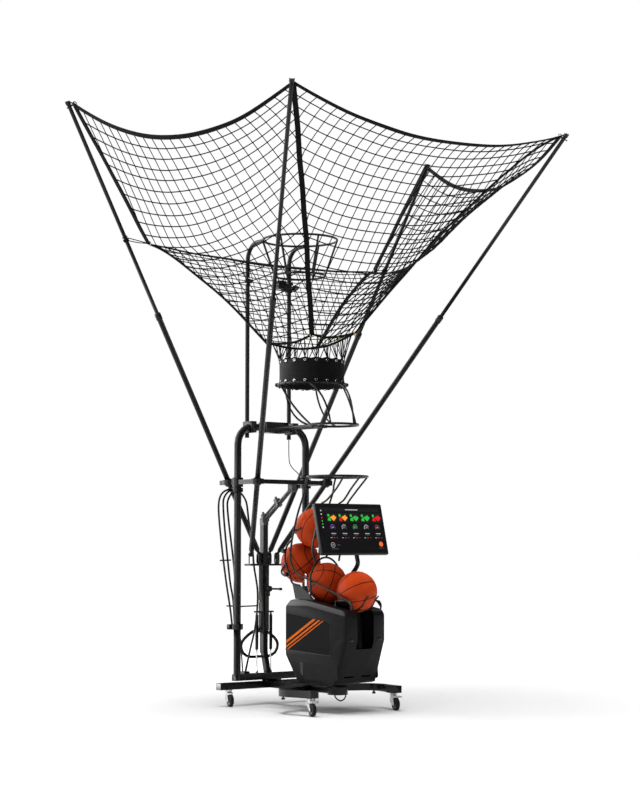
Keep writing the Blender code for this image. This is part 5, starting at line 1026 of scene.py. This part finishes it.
bm = nodeMesh("housing_shell", housing["edge"])
bmesh.ops.transform(bm, matrix=toLauncher, verts=bm.verts)
for normal in ((0, 0, 1), (fall, 0, 1)):
    geometry = bm.verts[:] + bm.edges[:] + bm.faces[:]
    bmesh.ops.bisect_plane(bm, geom=geometry, plane_no=normal, dist=1e-6,
                           plane_co=(housing["slopeStart"], 0, housing["top"] - housing["band"]))
for face in bm.faces:
    middle = face.calc_center_median()
    face.material_index = 1 if middle.z > deckHeight(middle.x) - housing["band"] - 1e-4 else 0
bmesh.ops.transform(bm, matrix=toLauncher.inverted(), verts=bm.verts)
housingLook = [paint["mouldedPlastic"], paint["deckPlastic"]]
shell = finishPiece("housing_finish", bm, housingLook, "housing_shell", ["housing_shell"])
softenEdges(shell, housing["edge"])

bm = bmesh.new()
for side in (-1, 1):
    out = side * housing["half"]
    line = [(-0.2523, 0.3600), (-0.100, 0.3490), (0.080, 0.3350), (0.097, 0.3360), (0.1040, 0.3470),
            (0.1060, 0.420), (0.1055, 0.495), (0.0985, 0.522), (0.082, 0.5385)]
    addCords(bm, [smoothPath([launcherPoint(forward, out + side * 0.0004, up) for forward, up in line], 5)],
             0.0022, 1)
finishPiece("panel_beads", bm, paint["blackPaint"], "housing_shell")

bm = bmesh.new()
for side in (-1, 1):
    out = side * (housing["half"] + 0.0006)
    addPlate(bm, [(-0.1025, 0.290), (0.1450, 0.2835), (0.1560, 0.276), (0.1600, 0.200), (0.1500, 0.1935),
                  (-0.0976, 0.1917)], out, 0.0024)
    # painted shade: a thin dark sheet beside the plate, for the shade of an inset
    addPlate(bm, [(-0.136, 0.2885), (-0.112, 0.2896), (-0.112, 0.2086), (-0.1311, 0.2288)],
             side * (housing["half"] + 0.0001), 0.0008, 1)
for left in (-0.1287, 0.1287):
    spot = launcherPoint(housing["front"] + 0.0006, left, 0.425)
    turned = Matrix.Translation(spot) @ Matrix.Rotation(yaw, 4, "Z")
    # painted shade: a thin dark sheet where the grip is recessed
    addBlock(bm, turned, (0.0016, 0.036, 0.014), 0.0006, 1)
    addBlock(bm, turned @ at(0.0012, 0, 0.008), (0.003, 0.038, 0.003), 0.0008, 0)
finishPiece("housing_plates", bm, housingLook, "housing_shell")
print("housing made")


# Display arm: bent tube on the deck, with the barrel of the display's hinge

armPath = [(-0.030, 0.150, 0.622), (-0.030, 0.150, 0.700), (-0.026, 0.146, 0.745), (-0.006, 0.128, 0.784),
           (0.028, 0.110, 0.812), (0.059, 0.102, 0.840), (0.074, 0.099, 0.868), (0.070, 0.096, 0.905),
           (0.065, 0.094, 0.945), (0.059, 0.093, 0.985), (0.0535, 0.0925, 1.011)]
hinge = {"x": -0.019, "y": 0.079, "z": 1.023, "width": 0.042, "radius": 0.014, "bore": 0.0052, "tube": 0.0135}
bm = bmesh.new()
addCords(bm, [smoothPath([launcherPoint(*point) for point in armPath], 8)], hinge["tube"], 4)
addTurned(bm, [(0, 0), (0.024, 0), (0.024, 0.009), (0.019, 0.012), (0, 0.012)],
          Matrix.Translation(launcherPoint(-0.030, 0.150, 0.654)), 28)
addTurned(bm, sleeve(hinge["bore"], hinge["radius"], hinge["width"]),
          axisMatrix((hinge["x"], hinge["y"], hinge["z"]), (hinge["x"], 1, hinge["z"])), 28)
finishPiece("display_tube", bm, paint["blackPaint"], "display_arm", ["display_arm"])
print("display arm made")


# Wire guard: bent rods held by two collars behind the right leg

guard = {"x": -0.7457, "legX": -0.6997, "legY": -0.264, "legRadius": 0.0227, "collar": 0.033, "wire": 0.0062,
         "thin": 0.7}
guardRods = [[(-0.262, 1.316), (-0.286, 1.319), (-0.331, 1.304), (-0.361, 1.274), (-0.374, 1.220),
              (-0.369, 1.127), (-0.346, 0.947), (-0.315, 0.752), (-0.284, 0.589), (-0.268, 0.480)],
             [(-0.256, 1.314), (-0.270, 1.316), (-0.308, 1.297), (-0.335, 1.260), (-0.339, 1.206),
              (-0.325, 1.055), (-0.288, 0.767), (-0.262, 0.640), (-0.250, 0.480)],
             [(-0.244, 1.312), (-0.254, 1.312), (-0.282, 1.287), (-0.304, 1.250), (-0.308, 1.207),
              (-0.294, 1.091), (-0.266, 0.911), (-0.250, 0.767), (-0.236, 0.480)],
             [(-0.240, 1.314), (-0.224, 1.309), (-0.188, 1.277), (-0.162, 1.230), (-0.146, 1.129),
              (-0.119, 0.983), (-0.104, 0.845), (-0.088, 0.765), (-0.077, 0.697), (-0.077, 0.607),
              (-0.095, 0.466), (-0.132, 0.334), (-0.170, 0.190)],
             [(-0.216, 0.480), (-0.206, 0.400), (-0.186, 0.190)], [(-0.362, 0.882), (-0.280, 0.884)],
             [(-0.311, 0.605), (-0.250, 0.604)], [(-0.262, 0.599), (-0.077, 0.602)]]
bm = bmesh.new()
for rod in guardRods:
    radius = guard["wire"] if len(rod) > 3 else guard["wire"] * guard["thin"]
    addCords(bm, [smoothPath([(guard["x"], y, z) for y, z in rod])], radius, 2)
for low, height, reach in ((1.300, 0.026, 0.030), (0.462, 0.032, 0.052)):
    addTurned(bm, sleeve(guard["legRadius"], guard["collar"], height), at(guard["legX"], guard["legY"], low),
              32)
    addBlock(bm, at(guard["x"] + 0.006, guard["legY"] + 0.012, low + height / 2), (0.030, 2 * reach, height),
             0.002)
addBlock(bm, at(-0.733, -0.178, 0.190), (0.042, 0.040, 0.030), 0.002)
finishPiece("guard_wires", bm, paint["wirePaint"], "wire_guard", ["wire_guard"])
print("guard made")


# Small fittings: pole caps, plugs in the rear bar's ends, a tag on the sleeve

for end in ("rear", "front"):
    for side in (-1, 1):
        bm = bmesh.new()
        tip, foot = sided(poleTips[end], side), sided(poleFeet[end], side)
        along = (tip - foot).normalized()
        addTurned(bm, [(0, -0.003), (0.0158, -0.003), (0.0158, 0.001), (0.012, 0.003), (0, 0.003)],
                  axisMatrix(tip, tip + along), 20)
        finishPiece(f"pole_cap_{end}_{sideWord(side)}", bm, paint["paleCap"], f"pole_{end}_{sideWord(side)}")
bm = bmesh.new()
for side in (-1, 1):
    addBlock(bm, at(-0.7152, side * 0.3906, 0.122), (0.049, 0.0030, 0.037), 0.001)
finishPiece("bar_plugs", bm, paint["greyCast"], "base_frame")
bm = bmesh.new()
addBlock(bm, at(-0.797, -0.0238, 0.627), (0.010, 0.0012, 0.016), 0.0003)
finishPiece("sleeve_tag", bm, paint["yellowTag"], "lift_sleeve")


# Caster wheels: tyre and hub

wheel = {"radius": 0.0375, "half": 0.012, "angle": -15.0}
for end in ("front", "rear"):
    for word in ("left", "right"):
        low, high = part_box(f"caster_wheel_{end}_{word}")
        middle = (low + high) / 2
        axle = Vector((-sin(radians(wheel["angle"])), cos(radians(wheel["angle"])), 0))
        place = axisMatrix(middle, middle + axle)
        bm = bmesh.new()
        half, outer = wheel["half"], wheel["radius"]
        tyre = [(0.026, -half), (outer - 0.005, -half), (outer - 0.0018, -half + 0.0018),
                (outer, -half * 0.45), (outer, half * 0.45), (outer - 0.0018, half - 0.0018),
                (outer - 0.005, half), (0.026, half)]
        hub = [(0.026, half), (0.0245, half - 0.0016), (0.020, half - 0.004), (0.012, half - 0.004),
               (0.0105, half), (0.0055, half), (0.0055, -half), (0.0105, -half), (0.012, -half + 0.004),
               (0.020, -half + 0.004), (0.0245, -half + 0.0016), (0.026, -half)]
        addTurned(bm, tyre, place, 48, 0)
        addTurned(bm, hub, place, 48, 1)
        finishPiece(f"wheel_{end}_{word}_detail", bm, [paint["tyreRubber"], paint["nylon"]],
                    f"wheel_{end}_{word}", [f"caster_wheel_{end}_{word}"])
print("wheels made")


# Screen and its readout

display = {"centre": (0.0338, 0.030, 1.067), "tilt": 14.0, "screenWidth": 0.478, "screenHeight": 0.272,
           "face": 0.0152}
displayPlace = at(*display["centre"]) @ Matrix.Rotation(radians(-display["tilt"]), 4, "Y")


def makeGlow(name, colour, strength=1.0):
    first, second = [tuple(c * share for c in colour) for share in (0.35, 0.30)]
    look = {"gloss": 0.4, "texture": "grain"}
    material = makeFinish(name, first, second, (0.16, 0.24), 60.0, 0.00002, look)
    shader = material.node_tree.nodes["Principled BSDF"].inputs
    shader["Emission Color"].default_value = (*colour, 1)
    shader["Emission Strength"].default_value = strength
    return material


glow = {"ground": makeGlow("screenGround", (0.0055, 0.0055, 0.0062), 0.9)}
for name, colour in {"green": (0.03, 0.42, 0.05), "orange": (0.85, 0.30, 0.02), "red": (0.62, 0.012, 0.010),
                     "white": (0.42, 0.42, 0.44), "grey": (0.07, 0.07, 0.075), "violet": (0.20, 0.07, 0.45),
                     "disc": (0.80, 0.13, 0.03), "band": (0.0105, 0.0105, 0.0120)}.items():
    glow[name] = makeGlow("screen" + name.title(), colour)
glowOrder = list(glow)
screenBm = bmesh.new()


def screenPlace(across, down, lift):  # across and down run from 0 to 1 over the picture
    left, up = (across - 0.5) * display["screenWidth"], (0.5 - down) * display["screenHeight"]
    return displayPlace @ at(display["face"] + lift, left, up) @ Matrix.Rotation(radians(90), 4, "Y")


def screenBar(across, down, width, height, colour, lift=0.0005):
    size = Matrix.Diagonal((height * display["screenHeight"], width * display["screenWidth"], 1, 1))
    made = bmesh.ops.create_grid(screenBm, x_segments=1, y_segments=1, size=0.5,
                                 matrix=screenPlace(across, down, lift) @ size)
    for face in {face for corner in made["verts"] for face in corner.link_faces}:
        face.material_index = glowOrder.index(colour)


def screenFan(across, down, inner, outer, start, end, colour, lift=0.0006, steps=18):
    place = screenPlace(across, down, lift)
    spots = []
    for i in range(steps + 1):
        angle = radians(start + (end - start) * i / steps)
        spots.append([screenBm.verts.new(place @ Vector((-cos(angle) * r, sin(angle) * r, 0)))
                      for r in (max(inner, 1e-5), outer)])
    for (a, b), (c, d) in zip(spots, spots[1:]):
        face = screenBm.faces.new((a, b, d, c))
        face.material_index = glowOrder.index(colour)


def screenDot(across, down, radius, colour):
    screenFan(across, down, 0.0, radius, 0, 360, colour)


gauges = {"left": 0.195, "step": 0.178, "down": 0.47, "inner": 0.0145, "outer": 0.0178, "half": 130}
screenBar(0.5, 0.5, 1.0, 1.0, "ground", 0.0)
screenBar(0.5, 0.075, 0.94, 0.085, "band", 0.0003)
screenBar(0.53, 0.075, 0.20, 0.018, "white")
for down, colour in ((0.10, "white"), (0.18, "white"), (0.26, "red"), (0.33, "green"), (0.40, "green"),
                     (0.47, "white")):
    screenDot(0.045, down, 0.0048, colour)
columns = [("green", "orange", "64", "violet"), ("red", "orange", "71", "white"),
           ("green", "green", "82", "green"), ("green", "green", "78", "white"), ("red", "red", "49", "red")]
for column, (left, right, reading, shade) in enumerate(columns):
    across = gauges["left"] + column * gauges["step"]
    screenBar(across + 0.002, 0.25, 0.158, 0.215, "band", 0.0003)
    screenDot(across - 0.042, 0.205, 0.0085, "green")
    screenFan(across - 0.010, 0.335, 0.004, 0.026, -78, -8, left)
    screenFan(across + 0.030, 0.335, 0.004, 0.033, -42, 46, right)
    screenDot(across + 0.040, 0.215, 0.006, right if column != 2 else "grey")
    for turn, colour, lift in ((2 * gauges["half"], "grey", 0.0006),
                               (2 * gauges["half"] * int(reading) / 100, shade, 0.0008)):
        screenFan(across, gauges["down"], gauges["inner"], gauges["outer"], -gauges["half"],
                  turn - gauges["half"], colour, lift)
    screenBar(across, 0.605, 0.075, 0.014, "white")
    screenBar(across, 0.635, 0.058, 0.014, "grey")
    for dash, colour in enumerate(("white", "red", "grey")):
        screenBar(across - 0.045 + 0.045 * dash, 0.70, 0.026, 0.013, colour)
screenFan(0.155, 0.86, 0.013, 0.0155, 0, 360, "white")
screenBar(0.155, 0.86, 0.022, 0.016, "white", 0.0007)
screenBar(0.245, 0.86, 0.045, 0.014, "grey")
screenBar(0.18, 0.945, 0.10, 0.012, "grey")
screenDot(0.925, 0.84, 0.0150, "disc")
screenBar(0.925, 0.93, 0.085, 0.013, "grey")
bmesh.ops.recalc_face_normals(screenBm, faces=screenBm.faces)
facing = displayPlace.to_3x3() @ Vector((1, 0, 0))
bmesh.ops.reverse_faces(screenBm, faces=[face for face in screenBm.faces if face.normal.dot(facing) < 0])
finishPiece("screen_readout", screenBm, [glow[name] for name in glowOrder], "display",
            ["display_screen"])
for column, (left, right, reading, shade) in enumerate(columns):
    textData = bpy.data.curves.new("reading", "FONT")
    textData.body = reading
    textData.size = 0.016
    textData.align_x = "CENTER"
    textData.align_y = "CENTER"
    bm = bmesh.new()
    joinMesh(bm, meshOf(textData), 0)
    upright = Matrix.Rotation(radians(90), 4, "Z")
    place = screenPlace(gauges["left"] + column * gauges["step"], gauges["down"], 0.0007) @ upright
    bmesh.ops.transform(bm, verts=bm.verts, matrix=place)
    finishPiece(f"screen_number_{column + 1}", bm, glow["white"], "display")
print("screen lit")


# Side panels: dark plates with plain slanting stripes

stripes = {"slope": -0.62, "colour": (0.78, 0.16, 0.012),
           "bands": ((0.590, 0.0085), (0.562, 0.0058), (0.541, 0.0034))}


def makePanelFinish():
    look = {"gloss": 0.05, "texture": "grain"}
    material = makeFinish("panelFinish", (0.0042, 0.0042, 0.0044), (0.0062, 0.0062, 0.0065), (0.30, 0.40),
                          240.0, 0.0001, look)
    tree = material.node_tree
    shader = tree.nodes["Principled BSDF"].inputs
    place = addNode(tree, "TexCoord").outputs["Object"]
    inLauncher = addNode(tree, "Mapping", {"Vector": place, "Rotation": (0, 0, -yaw)}).outputs[0]
    apart = addNode(tree, "SeparateXYZ", {0: inLauncher}).outputs
    height = mathNode(tree, "MULTIPLY_ADD", apart[0], stripes["slope"], apart[2])
    masks = []
    for middle, half in stripes["bands"]:
        away = mathNode(tree, "ABSOLUTE", mathNode(tree, "SUBTRACT", height, middle))
        masks.append(mathNode(tree, "LESS_THAN", away, half))
    mask = mathNode(tree, "MAXIMUM", mathNode(tree, "MAXIMUM", masks[0], masks[1]), masks[2])
    ground = shader["Base Color"].links[0].from_socket
    feed(tree, shader["Base Color"], mixColour(tree, mask, ground, stripes["colour"]))
    return material


panelFinish = makePanelFinish()
for word in ("left", "right"):
    dressNode(f"side_panel_{word}", panelFinish)
print("panels striped")


# Studio: white paper whose far part glows, and a world that only shining surfaces see as bright walls

studio = {"paper": 60, "ambient": 0.26, "wallAlong": (-0.62, -0.78, 0)}


def fade(tree, value, start, end, low, high):  # smoothly from low at start to high at end
    values = {"Value": value, "From Min": start, "From Max": end, "To Min": low, "To Max": high}
    return addNode(tree, "MapRange", values, interpolation_type="SMOOTHSTEP").outputs[0]


paperMaterial, tree, shader, place = newMaterial("floorPaper")
fibres = placeGroup(tree, grainField, place, Scale=3.0, Detail=3.0, Contrast=1.0)["Mask"]
feed(tree, shader["Roughness"], 0.9)
feed(tree, shader["Specular IOR Level"], 0.1)
feed(tree, shader["Base Color"], mixColour(tree, fibres, (0.80, 0.80, 0.80), (0.81, 0.81, 0.81)))
rays = addNode(tree, "LightPath").outputs
seen = mathNode(tree, "MAXIMUM", rays["Is Camera Ray"], rays["Is Glossy Ray"])
seen = mathNode(tree, "MAXIMUM", seen, rays["Is Transmission Ray"])
distance = addNode(tree, "VectorMath", {0: place}, operation="LENGTH").outputs["Value"]
whitening = mathNode(tree, "MULTIPLY", seen, fade(tree, distance, 0.8, 6.5, 0.0, 0.80))
lift = addNode(tree, "Emission", {"Color": (1, 1, 1), "Strength": whitening}).outputs[0]
both = addNode(tree, "AddShader", {0: tree.nodes["Principled BSDF"].outputs[0], 1: lift}).outputs[0]
feed(tree, tree.nodes["Material Output"].inputs["Surface"], both)
bm = bmesh.new()
bmesh.ops.create_circle(bm, cap_ends=True, segments=96, radius=studio["paper"])
floor = finishPiece("floor", bm, paperMaterial)

world = bpy.data.worlds.new("studio")
scene.world = world
world.use_nodes = True
tree = world.node_tree
rays = addNode(tree, "LightPath").outputs
seen = mathNode(tree, "MAXIMUM", rays["Is Camera Ray"], rays["Is Transmission Ray"])
towards = addNode(tree, "TexCoord").outputs["Generated"]
leftward = addNode(tree, "VectorMath", {0: towards, 1: studio["wallAlong"]},
                   operation="DOT_PRODUCT").outputs["Value"]
wall = fade(tree, leftward, 0.12, 0.66, 0.05, 3.0)
ceiling = fade(tree, addNode(tree, "SeparateXYZ", {0: towards}).outputs[2], 0.35, 0.9, 0.0, 0.6)
bright = mathNode(tree, "SUBTRACT", mathNode(tree, "MAXIMUM", wall, ceiling), studio["ambient"])
ambient = mathNode(tree, "ADD", mathNode(tree, "MULTIPLY", rays["Is Glossy Ray"], bright), studio["ambient"])
background = tree.nodes["Background"].inputs
feed(tree, background["Strength"], mathNode(tree, "MAXIMUM", seen, ambient))
feed(tree, background["Color"], (1, 1, 1))

lamps = {"key": {"place": (-5.2, -4.3, 2.5), "aim": (-0.2, -0.2, 2.2), "size": (3.2, 5.0), "power": 140},
         "top": {"place": (0.3, -0.8, 6.8), "aim": (0, 0, 1.0), "size": (3.4, 3.4), "power": 570},
         "fill": {"place": (3.6, 5.6, 3.0), "aim": (0, 0, 0.8), "size": (3.0, 3.0), "power": 60}}
for name, look in lamps.items():
    lampData = bpy.data.lights.new(name, "AREA")
    lampData.shape = "RECTANGLE"
    lampData.size, lampData.size_y = look["size"]
    lampData.energy = look["power"]
    lamp = bpy.data.objects.new(name, lampData)
    lamp.visible_glossy = name == "key"
    spot, aim = Vector(look["place"]), Vector(look["aim"])
    lamp.location = spot
    lamp.rotation_euler = (aim - spot).to_track_quat("-Z", "Y").to_euler()
    scene.collection.objects.link(lamp)
scene.view_settings.view_transform = "Standard"
print("studio set")
